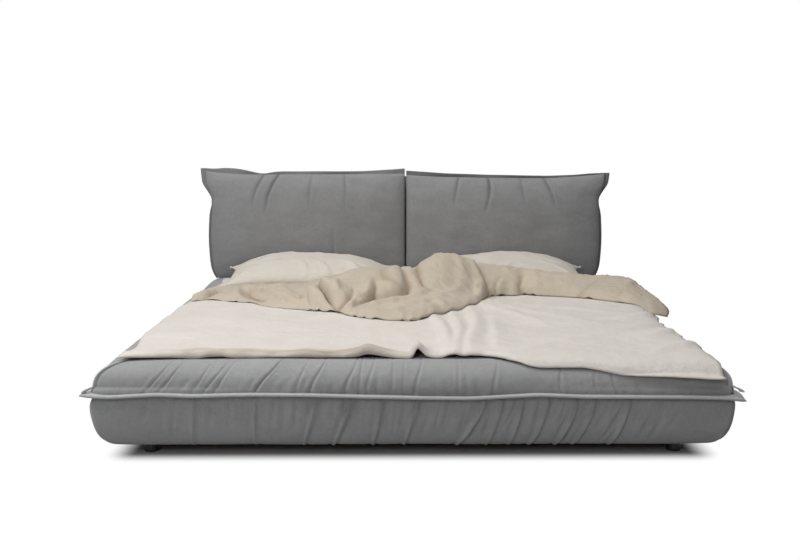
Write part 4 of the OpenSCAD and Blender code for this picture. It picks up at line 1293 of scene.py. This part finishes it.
# Edges of the main layer and of the part thrown back, as seen from above: place and value of each knot
HEM = [
    (-1.05, -1.095), (-0.95, -1.085), (-0.8, -1.070), (-0.6, -1.068), (0.05, -1.072), (0.2, -1.075),
    (0.255, -1.06), (0.32, -1.110), (0.40, -1.158), (0.58, -1.156), (0.75, -1.184), (0.90, -1.200),
    (1.0, -1.206), (1.1, -1.206),
]
LEFT_EDGE = [
    (-1.12, -1.020), (-1.06, -1.010), (-0.97, -1.000), (-0.92, -0.995), (-0.84, -1.010), (-0.655, -1.040),
    (-0.42, -1.043), (-0.17, -1.046), (0.05, -1.050), (0.12, -1.03), (0.3, -1.0), (0.6, -0.985),
]
RIGHT_EDGE = [
    (-1.18, 1.046), (-1.03, 1.050), (-0.93, 1.052), (-0.86, 1.060), (-0.80, 1.036), (-0.71, 1.038),
    (-0.645, 1.064), (-0.585, 1.034), (-0.40, 1.036), (-0.33, 1.050), (-0.265, 1.073), (-0.22, 1.05),
    (-0.1, 1.12), (0.0, 1.135), (0.2, 1.115), (0.6, 1.05),
]
FLAP_LEFT = [
    (0.10, -1.010), (0.20, -1.0), (0.34, -0.985), (0.42, -0.955), (0.55, -0.925), (0.60, -0.90),
]
FLAP_RIGHT = [
    (-0.05, 1.15), (0.0, 1.19), (0.045, 1.207), (0.11, 1.165), (0.19, 1.115), (0.3, 1.09), (0.6, 1.04),
]
FOLD = [
    (-1.0, 0.50), (-0.92, 0.55), (-0.8, 0.60), (-0.5, 0.60), (-0.2, 0.585), (0.2, 0.585), (0.5, 0.58),
    (1.0, 0.55),
]
FREE_EDGE = [
    (-1.05, 0.09), (-0.98, 0.13), (-0.93, 0.147), (-0.866, 0.131), (-0.805, 0.10), (-0.715, 0.084),
    (-0.66, -0.01), (-0.59, -0.06), (-0.54, -0.095), (-0.48, -0.123), (-0.43, -0.162), (-0.38, -0.19),
    (-0.31, -0.215), (-0.265, -0.284), (-0.21, -0.32), (-0.156, -0.385), (-0.07, -0.434), (0.02, -0.425),
    (0.078, -0.326), (0.16, -0.213), (0.26, -0.08), (0.33, 0.034), (0.362, 0.20), (0.40, 0.285),
    (0.44, 0.275), (0.48, 0.305), (0.52, 0.285), (0.575, 0.345), (0.61, 0.30), (0.66, 0.29), (0.74, 0.265),
    (0.83, 0.20), (0.88, 0.155), (0.93, 0.115), (0.97, 0.06), (1.02, 0.02), (1.06, 0.02), (1.09, -0.03),
    (1.2, 0.0),
]

# How far the hem stands up from the bolster, from left to right
HEM_RISE = [
    (-1.0, 0.006), (-0.90, 0.010), (-0.78, 0.016), (-0.72, 0.010), (-0.536, 0.007), (-0.472, 0.003),
    (-0.432, 0.004), (-0.38, 0.014), (-0.318, 0.007), (-0.268, 0.003), (-0.218, 0.010), (-0.155, 0.029),
    (-0.114, 0.014), (-0.064, 0.006), (-0.02, 0.006), (0.02, 0.018), (0.06, 0.004), (0.2, 0.002),
    (0.4, 0.001), (1.1, 0.001),
]

# Width of the hem's facing, from left to right
HEM_BAND = [
    (-1.0, 0.040), (-0.90, 0.060), (-0.78, 0.085), (-0.74, 0.065), (-0.63, 0.048), (-0.50, 0.026),
    (-0.40, 0.036), (-0.32, 0.020), (-0.20, 0.030), (-0.13, 0.050), (0.0, 0.020), (1.1, 0.020),
]

# Folds of the main layer: line, heights along it, width on its left and on its right
MAIN_FOLDS = (
    ([(0.09, -0.22), (0.12, -0.50), (0.13, -0.76), (0.125, -1.10)],
     (0.010, 0.018, 0.026, 0.006), 0.032, 0.017),
    ([(0.185, -0.18), (0.19, -0.45), (0.185, -0.72), (0.14, -1.14)],
     (0.010, 0.018, 0.022, 0.004), 0.030, 0.017),
    ([(0.265, -0.05), (0.27, -0.35), (0.26, -0.57), (0.21, -0.90), (0.20, -1.12)],
     (0.010, 0.020, 0.022, 0.016, 0.002), 0.042, 0.018),
    ([(0.35, -0.30), (0.33, -0.65), (0.30, -1.00)], (0.004, 0.012, 0.004), 0.042, 0.022),
    ([(0.012, -0.90), (0.014, -1.00), (0.018, -1.16)], (0.004, 0.026, 0.052), 0.026, 0.012),
    ([(-0.13, -0.96), (-0.155, -1.04), (-0.165, -1.16)], (0.002, 0.012, 0.014), 0.070, 0.030),
    ([(-0.78, -0.98), (-0.70, -1.05), (-0.58, -1.10)], (0.002, 0.008, 0.002), 0.012, 0.030),
    ([(0.36, 0.12), (0.55, -0.18), (0.80, -0.50)], (0.012, 0.008, 0.001), 0.016, 0.035),
    ([(0.40, 0.18), (0.66, -0.02), (0.93, -0.20)], (0.010, 0.008, 0.003), 0.018, 0.035),
    ([(0.34, 0.02), (0.46, -0.25), (0.60, -0.60)], (0.012, 0.009, 0.001), 0.018, 0.035),
    ([(1.00, -0.50), (0.80, -0.68), (0.55, -0.86), (0.35, -1.08)],
     (0.014, 0.012, 0.009, 0.003), 0.022, 0.085),
    ([(1.03, -0.26), (0.90, -0.33), (0.72, -0.36)], (0.018, 0.012, 0.001), 0.018, 0.055),
    ([(1.01, -0.66), (0.93, -0.74), (0.86, -0.80)], (0.016, 0.012, 0.001), 0.018, 0.045),
    ([(1.02, -0.92), (0.92, -0.98), (0.84, -1.06)], (0.020, 0.014, 0.002), 0.020, 0.050),
    ([(-0.98, -0.30), (-0.60, -0.42), (-0.20, -0.46)], (0.005, 0.006, 0.001), 0.05, 0.07),
    ([(-0.96, -0.70), (-0.70, -0.66), (-0.40, -0.72)], (0.004, 0.005, 0.001), 0.06, 0.05),
)

# Rolls of cloth that end steeply: line, heights along it, width of the rounded edge, and how far they fade
ROLLS = (
    ([(-0.245, -0.26), (-0.215, -0.145), (-0.155, -0.090), (-0.070, -0.060), (-0.028, -0.02),
      (-0.018, 0.09), (-0.035, 0.28), (-0.05, 0.44)],
     (0.016, 0.034, 0.046, 0.054, 0.056, 0.050, 0.030, 0.0), 0.060, 0.28),
    ([(0.372, 0.18), (0.368, 0.27), (0.348, 0.35), (0.315, 0.42), (0.25, 0.47)],
     (0.020, 0.034, 0.036, 0.026, 0.0), 0.030, 0.10),
    ([(-0.20, 0.42), (-0.30, 0.29), (-0.375, 0.17), (-0.415, 0.07), (-0.395, -0.01), (-0.363, -0.09),
      (-0.334, -0.17), (-0.31, -0.25)],
     (0.0, 0.022, 0.040, 0.046, 0.046, 0.040, 0.026, 0.010), 0.040, 0.16),
    ([(-0.405, 0.12), (-0.432, 0.05), (-0.446, -0.03), (-0.438, -0.11), (-0.405, -0.20)],
     (0.024, 0.044, 0.050, 0.040, 0.016), 0.022, 0.10),
)

# Folds of the part thrown back, as those of the main layer; a hollow has a height below 0
FLAP_FOLDS = (
    ([(-0.415, 0.09), (-0.398, 0.01), (-0.372, -0.07), (-0.345, -0.14), (-0.318, -0.21)],
     (-0.010, -0.050, -0.055, -0.045, -0.016), 0.009, 0.014),
    ([(-0.33, 0.10), (-0.325, -0.02), (-0.322, -0.12), (-0.315, -0.20)],
     (0.002, 0.014, 0.016, 0.006), 0.016, 0.022),
    ([(-0.31, -0.24), (-0.262, -0.17), (-0.250, -0.10), (-0.262, -0.02)],
     (-0.022, -0.034, -0.016, -0.001), 0.022, 0.018),
    ([(-0.20, -0.135), (-0.150, -0.105), (-0.068, -0.075), (-0.014, -0.035), (-0.002, 0.08),
      (-0.018, 0.24)],
     (-0.006, -0.018, -0.026, -0.026, -0.024, -0.006), 0.014, 0.022),
    ([(0.378, 0.20), (0.376, 0.29), (0.356, 0.37), (0.325, 0.43)],
     (-0.010, -0.026, -0.026, -0.010), 0.010, 0.022),
    ([(-0.05, -0.02), (-0.10, 0.08), (-0.12, 0.20), (-0.08, 0.32)],
     (-0.006, -0.014, -0.012, -0.002), 0.030, 0.045),
    ([(-0.255, -0.24), (-0.205, -0.16), (-0.182, -0.09), (-0.178, 0.02), (-0.19, 0.14)],
     (0.010, 0.024, 0.026, 0.016, 0.002), 0.018, 0.022),
    ([(-0.240, -0.23), (-0.190, -0.16), (-0.160, -0.10), (-0.150, -0.02), (-0.158, 0.06)],
     (-0.012, -0.024, -0.024, -0.014, -0.001), 0.014, 0.018),
    ([(0.035, 0.44), (0.045, 0.30), (0.06, 0.14), (0.10, 0.02)],
     (-0.026, -0.030, -0.022, -0.004), 0.020, 0.026),
    ([(0.24, 0.38), (0.26, 0.22), (0.21, 0.06), (0.10, -0.06)], (0.010, 0.018, 0.012, 0.002), 0.040, 0.030),
    ([(0.12, 0.10), (0.04, -0.04), (-0.08, -0.12), (-0.17, -0.22)],
     (0.004, 0.018, 0.018, 0.004), 0.018, 0.040),
    ([(0.16, -0.02), (0.06, -0.16), (-0.06, -0.24)], (0.002, 0.014, 0.004), 0.018, 0.040),
    ([(-0.02, -0.16), (-0.05, -0.28), (-0.06, -0.42)], (0.002, 0.008, 0.008), 0.030, 0.018),
    ([(0.07, -0.14), (0.06, -0.24), (0.08, -0.36)], (0.002, 0.010, 0.008), 0.028, 0.018),
    ([(0.15, 0.0), (0.14, -0.12), (0.17, -0.22)], (0.002, 0.010, 0.008), 0.028, 0.018),
    ([(-0.985, 0.14), (-0.955, 0.20), (-0.935, 0.30)], (0.020, 0.020, 0.004), 0.018, 0.024),
    ([(-0.955, 0.13), (-0.925, 0.20), (-0.90, 0.30)], (-0.020, -0.024, -0.004), 0.012, 0.020),
    ([(-0.805, 0.10), (-0.815, 0.22), (-0.84, 0.36)], (0.024, 0.030, 0.008), 0.014, 0.026),
    ([(-0.765, 0.32), (-0.745, 0.22), (-0.708, 0.13), (-0.66, 0.06)],
     (-0.014, -0.046, -0.048, -0.018), 0.016, 0.034),
    ([(-0.790, 0.40), (-0.715, 0.28), (-0.640, 0.14), (-0.56, 0.02), (-0.51, -0.06)],
     (0.008, 0.026, 0.034, 0.030, 0.012), 0.026, 0.012),
    ([(-0.745, 0.42), (-0.675, 0.30), (-0.605, 0.17), (-0.53, 0.05), (-0.48, -0.05)],
     (-0.004, -0.022, -0.032, -0.026, -0.008), 0.012, 0.020),
    ([(-0.66, 0.46), (-0.60, 0.26), (-0.545, 0.08), (-0.49, -0.04)],
     (0.004, 0.016, 0.018, 0.008), 0.030, 0.016),
    ([(-0.90, 0.50), (-0.70, 0.50), (-0.50, 0.46)], (-0.010, -0.018, -0.010), 0.030, 0.050),
    ([(-0.455, -0.02), (-0.475, 0.10), (-0.50, 0.24)], (0.016, 0.016, 0.002), 0.016, 0.030),
    ([(-0.47, -0.04), (-0.49, 0.02), (-0.475, 0.10)], (-0.012, -0.020, -0.006), 0.010, 0.012),
    ([(0.44, 0.24), (0.445, 0.32), (0.47, 0.40)], (0.012, 0.010, 0.001), 0.012, 0.024),
    ([(0.50, 0.24), (0.51, 0.31), (0.54, 0.38)], (0.010, 0.008, 0.001), 0.010, 0.020),
    ([(0.565, 0.25), (0.575, 0.32), (0.60, 0.40)], (0.022, 0.014, 0.002), 0.010, 0.026),
    ([(0.42, 0.27), (0.425, 0.31), (0.45, 0.36)], (-0.022, -0.016, -0.002), 0.008, 0.012),
    ([(0.55, 0.31), (0.545, 0.35), (0.57, 0.42)], (-0.030, -0.018, -0.002), 0.010, 0.016),
    ([(0.80, 0.20), (0.86, 0.25), (0.94, 0.32)], (-0.014, -0.012, -0.001), 0.010, 0.030),
    ([(0.95, 0.09), (0.99, 0.14), (1.04, 0.22)], (-0.016, -0.012, -0.001), 0.010, 0.026),
    ([(0.60, 0.25), (0.64, 0.34), (0.74, 0.44)], (0.012, 0.012, 0.002), 0.016, 0.035),
    ([(0.80, 0.10), (0.86, 0.22), (0.98, 0.36)], (0.008, 0.010, 0.002), 0.016, 0.035),
    ([(0.97, 0.03), (1.02, 0.14), (1.07, 0.26)], (0.006, 0.010, 0.002), 0.016, 0.030),
)

# Height of the thrown-back part above the main layer, from left to right
CREST = [
    (-1.0, 0.008), (-0.8, 0.012), (-0.52, 0.016), (-0.44, 0.038), (-0.40, 0.060), (-0.30, 0.082),
    (-0.16, 0.100), (0.0, 0.122), (0.08, 0.146), (0.15, 0.180), (0.20, 0.180), (0.25, 0.154), (0.29, 0.132),
    (0.33, 0.128), (0.38, 0.126), (0.45, 0.112), (0.52, 0.102), (0.63, 0.088), (0.78, 0.076), (0.90, 0.068),
    (1.0, 0.070), (1.06, 0.084), (1.11, 0.108), (1.16, 0.098), (1.2, 0.074),
]

# Depth of hollow at which its painted shade is full
HOLLOW_FULL = 0.024

# The duvet's grid, its ends across the bed for the spacing of the columns, and a first left edge and width
DUVET_COLUMNS = 226
DUVET_ROWS = 218
DUVET_SPAN = -1.0, 1.05
FIRST_X, FIRST_WIDTH = -1.02, 2.07

# The turned edge takes the rows between these shares, and the part thrown back those after
TURN = 0.44, 0.48

# Rows of the main layer, closer by the hem: from and to which share of the rows, and of the way to the fold
MAIN_SPANS = (
    (0.0, 0.03, 0.0, 0.014), (0.03, 0.08, 0.014, 0.065), (0.08, 0.40, 0.065, 0.64), (0.40, 0.44, 0.64, 1.0),
)

# The hem's drop ends at this share of the way to the fold, and its form takes this share of the rows
HEM_DROP_END = 0.014
HEM_ROWS = 0.1

# Rounds that the plan takes to settle, and how far each goes
SETTLING = 10
SETTLING_SHARE = 0.3

# Height of the main layer over the bed, and of the part thrown back over the main layer, also at its edge
LAYER_LIFT = 0.010
LAYER_GAP = 0.0145
EDGE_LESS = 0.0055

# How far the turned edge stands out, and how high the small pleats are
TURN_BULGE = 0.016
PLEAT_HEIGHT = 0.007

# Filling: its full thickness, the share left at the edges, and how far in from them it is full
FILLING_T = 0.014
EDGE_SHARE = 0.25
EDGE_FADE = 0.05

# About the size of the grid's cells: across, along by the hem, and along by the free edge
CELL_ACROSS = 0.0095
CELL_HEM = 0.011
CELL_FREE = 0.007

# Width of the duvet when it lies flat
CLOTH_WIDTH = 2.1


def roll_surface(u):
    """Height of a bolster's top at u from the board's inner face."""
    rounded = bulge((u - CROWN_U) / (ROLL_W - CROWN_U), TOP_POWER)
    return np.where(u < CROWN_U, BASE_TOP, SEAM_TOP + (BASE_TOP - SEAM_TOP) * rounded)


def bed_surface(x, y):
    """Height of what the duvet lies on."""
    side = np.abs(x) - IN_X
    foot = FOOT_Y - y
    edge = ROLL_W - 0.015
    inside = np.minimum(roll_surface(np.minimum(side, edge)), roll_surface(np.minimum(foot, edge)))
    from_mitre = np.abs(side - foot)
    crown = np.clip((inside - SEAM_Z) / (BASE_TOP - SEAM_Z), 0, 1) ** (TOP_POWER / 2)
    drawn = end_swell(from_mitre, crown) + CORNER_DRAW * bell(from_mitre, CORNER_NEAR)
    return inside + 0.8 * drawn - 0.25 * np.maximum(0, side - ROLL_W + 0.01)


def lower_layer(x, y):
    """Height of the middle of the duvet's main layer."""
    z = bed_surface(x, y) + LAYER_LIFT
    z += smooth_curve(x, HEM_RISE) * bell(y - smooth_curve(x, HEM), 0.055)
    z += 0.004 * waves(x, y, 41, 0.6) + 0.0022 * crumple(x, y, 44, 0.35)
    return z + together(x, y, fold, MAIN_FOLDS)


def fold_shade(x, y, folds):
    """Painted shade in the hollows of some folds, from 0 to 1."""
    deep = np.zeros_like(x)
    for points, heights, left, right in folds:
        hollow = [min(1, max(0, -height) / HOLLOW_FULL) for height in heights]
        if any(hollow):
            deep += fold(x, y, points, hollow, left * 0.65, right * 0.55)
    return deep


def crest_share(x, s):
    """Share of the crest's height: a steep mound in the middle of the bed, and long slopes beside it."""
    mound = between(x, (-0.50, -0.38), (0.30, 0.40))
    top = 0.28 + 0.17 * step(x, 0.30, 0.44)
    back = bulge(1 - np.minimum(1, s / top), 2.0)
    ahead = np.clip((s - top) / (1 - top), 0, 1)
    steep = 0.16 * bulge(ahead, 3.0) + 0.84 * bell(ahead, 0.36)
    slope = 0.14 * bulge(ahead, 3.0) + 0.86 * (1 - ahead ** 1.25)
    return np.where(s < top, back, steep * mound + slope * (1 - mound))


def pleats(x, s):
    """Small arches in four stretches of the free edge."""
    stretches = between(x, (-0.50, -0.40), (0.04, 0.10)) + between(x, (0.36, 0.40), (0.60, 0.66))
    stretches += between(x, (0.76, 0.80), (1.0, 1.05)) + 0.7 * (1 - step(x, -0.70, -0.62))
    arches = np.maximum(0, np.sin(x * 95 + 2.5 * np.sin(x * 31)))
    return PLEAT_HEIGHT * arches * stretches * step(s, 0.91, 0.99)


def flap_height(x, y, s):
    """Height of the part thrown back above the main layer: s is 0 at the fold and 1 at the free edge."""
    strips = 1 - between(x, (-0.5, -0.42), (0.34, 0.42))
    loose = (0.008 + 0.005 * strips) * crumple(x, y, 61, 0.30) + 0.004 * crumple(x, y, 71, 0.16)
    loose += together(x, y, fold, FLAP_FOLDS) + together(x, y, roll, ROLLS)
    height = smooth_curve(x, CREST) * crest_share(x, s)
    height += loose * (1 - 0.88 * step(s, 0.86, 1.0)) * step(s, 0, 0.12)
    return np.maximum(height, -0.004) + pleats(x, s)


def closer(x):
    """How much closer the columns lie, at the rolls and beside them."""
    rolls = between(x, (-0.54, -0.47), (-0.26, -0.18))
    return 1 + 1.7 * rolls + 0.8 * between(x, (-0.26, -0.18), (0.36, 0.46))


def main_share(b):
    """How far each row of the main layer lies on the way from the hem to the fold."""
    main = np.zeros_like(b)
    for low, high, first, last in MAIN_SPANS:
        main = np.where((b >= low) & (b <= high), first + (last - first) * (b - low) / (high - low), main)
    return main


def hem_form(x, y, from_hem, main):
    """What the hem adds to the height, and its painted shade. Its facing shows at the left of the bed,
    darker partly as the underside's colour and partly as painted shade.
    """
    facing = smooth_curve(x, HEM_BAND)
    at_left = 1 - step(x, -0.10, 0.05)
    resting = between(x, (-0.84, -0.76), (0.30, 0.37))
    hang = 1 - bulge(1 - np.minimum(1, main / HEM_DROP_END), 2)
    drop = (smooth_curve(x, HEM_RISE) + 0.003 + 0.0045 * resting) * hang
    ridge = 0.005 * bell(from_hem - facing - 0.012, 0.009) - 0.003 * bell(from_hem - 0.020, 0.004)
    uneven = 0.42 + 0.25 * waves(x * 3, y * 9, 91, 0.5)
    # Painted shade: the facing band, partly the underside's colour and partly shade, with painted shadow
    # lines at its top edge and in its middle
    shade = uneven * (1 - step(from_hem, facing - 0.006, facing + 0.002))
    shade += 0.75 * bell(from_hem - facing, 0.007) * (0.6 + 0.4 * waves(x, y, 95, 0.3))
    shade += 0.40 * bell(from_hem - 0.5 * facing, 0.005)
    return ridge * at_left - drop, np.clip(shade, 0, 1) * step(x, -0.95, -0.80) * at_left


def duvet_plan(share, b, main, arc, flap):
    """Where each vertex lies as seen from above, and how far it is from the hem."""
    x = FIRST_X + FIRST_WIDTH * share
    for _ in range(SETTLING):
        hem, back, free = (smooth_curve(x, line) for line in (HEM, FOLD, FREE_EDGE))
        y = np.where(b > TURN[0], back + (free - back) * flap, hem + (back - hem) * main)
        left = smooth_curve(y, LEFT_EDGE) * (1 - arc) + smooth_curve(y, FLAP_LEFT) * arc
        right = smooth_curve(y, RIGHT_EDGE) * (1 - arc) + smooth_curve(y, FLAP_RIGHT) * arc
        x += SETTLING_SHARE * (left + (right - left) * share - x)
    return x, y, np.abs(y - hem)


def duvet_place(a, b):
    """Where the duvet's middle lies: a runs across, and b from the hem over the fold to the free edge."""
    main = main_share(b)
    arc = np.clip((b - TURN[0]) / (TURN[1] - TURN[0]), 0, 1)
    flap = np.clip((b - TURN[1]) / (1 - TURN[1]), 0, 1)
    x, y, from_hem = duvet_plan(spaced(a, *DUVET_SPAN, closer), b, main, arc, flap)
    gap = LAYER_GAP - EDGE_LESS * step(flap, 0.90, 1) + flap_height(x, y, flap)
    z = lower_layer(x, y) + gap * (1 - np.cos(math.pi * arc)) / 2
    rise, shade = hem_form(x, y, from_hem, main)
    by_hem = b < HEM_ROWS
    # The fourth number is painted shade: in the hollows of the part thrown back, and along the hem
    deep = np.where(b > TURN[1], fold_shade(x, y, FLAP_FOLDS), shade * by_hem)
    return x, y + TURN_BULGE * np.sin(math.pi * arc), z + rise * by_hem, deep


def map_cloth(bm):
    """Gives the duvet a map of the flat cloth: across from the columns, along from the middle column."""
    uv = bm.loops.layers.uv.new("Cloth")
    bm.verts.ensure_lookup_table()
    across = CLOTH_WIDTH * spaced(np.linspace(0, 1, DUVET_COLUMNS + 1), *DUVET_SPAN, closer)
    middle = np.array([(v.co.y, v.co.z) for v in bm.verts])[DUVET_COLUMNS // 2::DUVET_COLUMNS + 1]
    along = np.concatenate(([0], np.cumsum(np.hypot(*np.diff(middle, axis=0).T))))
    for face in bm.faces:
        for loop in face.loops:
            row, column = divmod(loop.vert.index, DUVET_COLUMNS + 1)
            loop[uv].uv = (across[column], along[row])


def fill_duvet(made):
    """Gives the duvet its thickness, which is less toward its edges."""
    filled = made.vertex_groups.new(name="Filled")
    for vert in made.data.vertices:
        row, column = divmod(vert.index, DUVET_COLUMNS + 1)
        across = min(column, DUVET_COLUMNS - column) * CELL_ACROSS
        edge = min(across, row * CELL_HEM, (DUVET_ROWS - row) * CELL_FREE)
        filled.add([vert.index], min(1.0, EDGE_SHARE + edge / EDGE_FADE * (1 - EDGE_SHARE)), "REPLACE")
    solid = made.modifiers.new("Filling", "SOLIDIFY")
    solid.thickness = FILLING_T
    solid.offset = 0
    solid.material_offset = 1
    solid.vertex_group = "Filled"
    solid.use_even_offset = False


class BED_OT_duvet(bpy.types.Operator):
    """Build the duvet, thrown back at the head end."""

    bl_idname = "bed.duvet"
    bl_label = "Duvet"

    def execute(self, context):
        bm = grid_mesh(DUVET_COLUMNS, DUVET_ROWS, duvet_place)
        map_cloth(bm)
        made = piece("duvet_thrown_back", bm, "duvet_fabric", "duvet", ["duvet"], ["lining"])
        fill_duvet(made)
        return {"FINISHED"}


# parts that keep their CAD shape


class BED_OT_frame_finishes(bpy.types.Operator):
    """Give the wooden frame, legs and fittings their finishes."""

    bl_idname = "bed.frame_finishes"
    bl_label = "Frame finishes"

    def execute(self, context):
        slots = {p["node"]: p["material_slot"] for p in frame["record"]["subparts"]}
        for name, node in frame["nodes"].items():
            # The head rail shows between the pillows from above, so it is covered in fabric
            finish = MATERIALS["cover_fabric" if name == "head_rail" else slots[name]]
            if not node.data.materials:
                node.data.materials.append(finish)
            for slot in node.material_slots:
                slot.material = finish
        return {"FINISHED"}


# stage

WHITE = (1, 1, 1, 1)
SKY_STRENGTH = 0.16
FLOOR_BOUNCE_AND_PAINTED_SHADOW_GREY = (0.42, 0.42, 0.42, 1)
FLOOR_SIZE = 30

# The floor is matt grey up to this far from the middle, a painted shadow under the real one, and fades to
# plain white beyond
MATT_X = OUT_X - 0.15
MATT_Y = -FLANGE_FRONT_Y - 0.113
MATT_FADE = 0.12

# Lights: name, place, width and power
LIGHTS = (
    ("overhead", (-0.6, -0.6, 4.2), 4.5, 135),
    ("key", (-3.6, -1.9, 3.2), 1.8, 60),
    ("front", (-1.2, -5.6, 2.6), 2.2, 56),
)
LIGHTS_AIM = (0, -0.2, 0.3)

CAMERA_PLACE = (-0.0661, FLANGE_FRONT_Y - 3.2248, 1.0413)
CAMERA_DOWN = 0.1302
CAMERA_TURN = -0.0064
CAMERA_LENS = 44.58
CAMERA_SENSOR = 36
CAMERA_END = 100


def studio_sky():
    """A world that is white to the camera and gives a soft light to the object."""
    s = Shader(bpy.data.worlds.new("studio"), "ShaderNodeOutputWorld")
    soft = s.node("ShaderNodeBackground", None, {"Color": WHITE, "Strength": SKY_STRENGTH})
    white = s.node("ShaderNodeBackground", None, {"Color": WHITE, "Strength": 1.0})
    seen = s.node("ShaderNodeLightPath", output="Is Camera Ray")
    return s.end(s.node("ShaderNodeMixShader", None, {0: seen, 1: soft, 2: white}))


def floor_with_painted_shadow():
    """A matt grey floor round the object, which holds its shadow and deepens it with painted shadow, and
    plain white further out.
    """
    s = Shader(bpy.data.materials.new("floor white"))
    where = s.vector_maths("ABSOLUTE", s.node("ShaderNodeTexCoord", output="Object"))
    beyond = s.vector_maths("SUBTRACT", where, (MATT_X, MATT_Y, 1))
    outside = s.vector_maths("MAXIMUM", beyond, (0, 0, 0))
    far = s.spread(s.vector_maths("LENGTH", outside, output="Value"), 0.0, MATT_FADE, "SMOOTHSTEP")
    camera, glossy, through = (
        s.node("ShaderNodeLightPath", output=f"Is {kind} Ray")
        for kind in ("Camera", "Glossy", "Transmission"))
    seen = camera.maths("MAXIMUM", glossy.maths("MAXIMUM", through))
    # Painted shadow: to the camera the floor is grey near and under the bed, and white beyond
    matt = s.node("ShaderNodeBsdfDiffuse", None, {"Color": FLOOR_BOUNCE_AND_PAINTED_SHADOW_GREY})
    glow = s.node("ShaderNodeEmission", None, {"Color": WHITE, "Strength": 1.0})
    return s.end(s.node("ShaderNodeMixShader", None, {0: seen * far, 1: matt, 2: glow}))


class BED_OT_stage(bpy.types.Operator):
    """Set the floor, the lights and the camera."""

    bl_idname = "bed.stage"
    bl_label = "Stage"

    def execute(self, context):
        scene = context.scene
        scene.view_settings.view_transform = "Standard"
        for name in ("Cube", "Light", "Camera"):
            spare = bpy.data.objects.get(name)
            if spare:
                bpy.data.objects.remove(spare)

        bm = bmesh.new()
        bmesh.ops.create_grid(bm, x_segments=1, y_segments=1, size=FLOOR_SIZE)
        floor = object_of("floor", mesh_of("floor", bm))
        floor.data.materials.append(floor_with_painted_shadow())
        scene.world = studio_sky()

        for name, place, size, power in LIGHTS:
            light = bpy.data.lights.new(name, "AREA")
            light.shape = "DISK"
            light.size = size
            light.energy = power
            lamp = object_of(name, light)
            lamp.location = place
            aim = Vector(LIGHTS_AIM) - Vector(place)
            lamp.rotation_euler = aim.to_track_quat("-Z", "Y").to_euler()

        camera = bpy.data.cameras.new("camera")
        camera.lens = CAMERA_LENS
        camera.sensor_width = CAMERA_SENSOR
        camera.clip_end = CAMERA_END
        scene.camera = object_of("camera", camera)
        scene.camera.location = CAMERA_PLACE
        scene.camera.rotation_euler = (math.pi / 2 - CAMERA_DOWN, 0, CAMERA_TURN)
        return {"FINISHED"}


# panel and registration

GROUPS = {"bed_base": BaseSettings, "bed_head": HeadSettings, "bed_bedding": BeddingSettings}
STEPS = (
    "stage", "frame_finishes", "bolsters", "base_seams", "headboard", "mattress", "pillows", "duvet",
)


class BED_PT_panel(bpy.types.Panel):
    """Lists the steps that build the bed."""

    bl_idname = "BED_PT_panel"
    bl_label = "Upholstered bed"
    bl_space_type = "VIEW_3D"
    bl_region_type = "UI"
    bl_category = "Bed"

    def draw(self, context):
        column = self.layout.column()
        for group in GROUPS:
            settings = getattr(context.scene, group)
            for name in settings.__annotations__:
                column.prop(settings, name)
        for name in STEPS:
            column.operator(f"bed.{name}")


CLASSES = (
    *GROUPS.values(),
    BED_OT_stage, BED_OT_frame_finishes, BED_OT_bolsters, BED_OT_base_seams, BED_OT_headboard,
    BED_OT_mattress, BED_OT_pillows, BED_OT_duvet, BED_PT_panel,
)


def register():
    for cls in CLASSES:
        bpy.utils.register_class(cls)
    for name, group in GROUPS.items():
        setattr(bpy.types.Scene, name, bpy.props.PointerProperty(type=group))


def unregister():
    for name in reversed(GROUPS):
        delattr(bpy.types.Scene, name)
    for cls in reversed(CLASSES):
        bpy.utils.unregister_class(cls)


def main():
    register()
    make_materials()
    for name in STEPS:
        getattr(bpy.ops.bed, name)()
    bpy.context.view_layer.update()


if __name__ == "__main__":
    main()
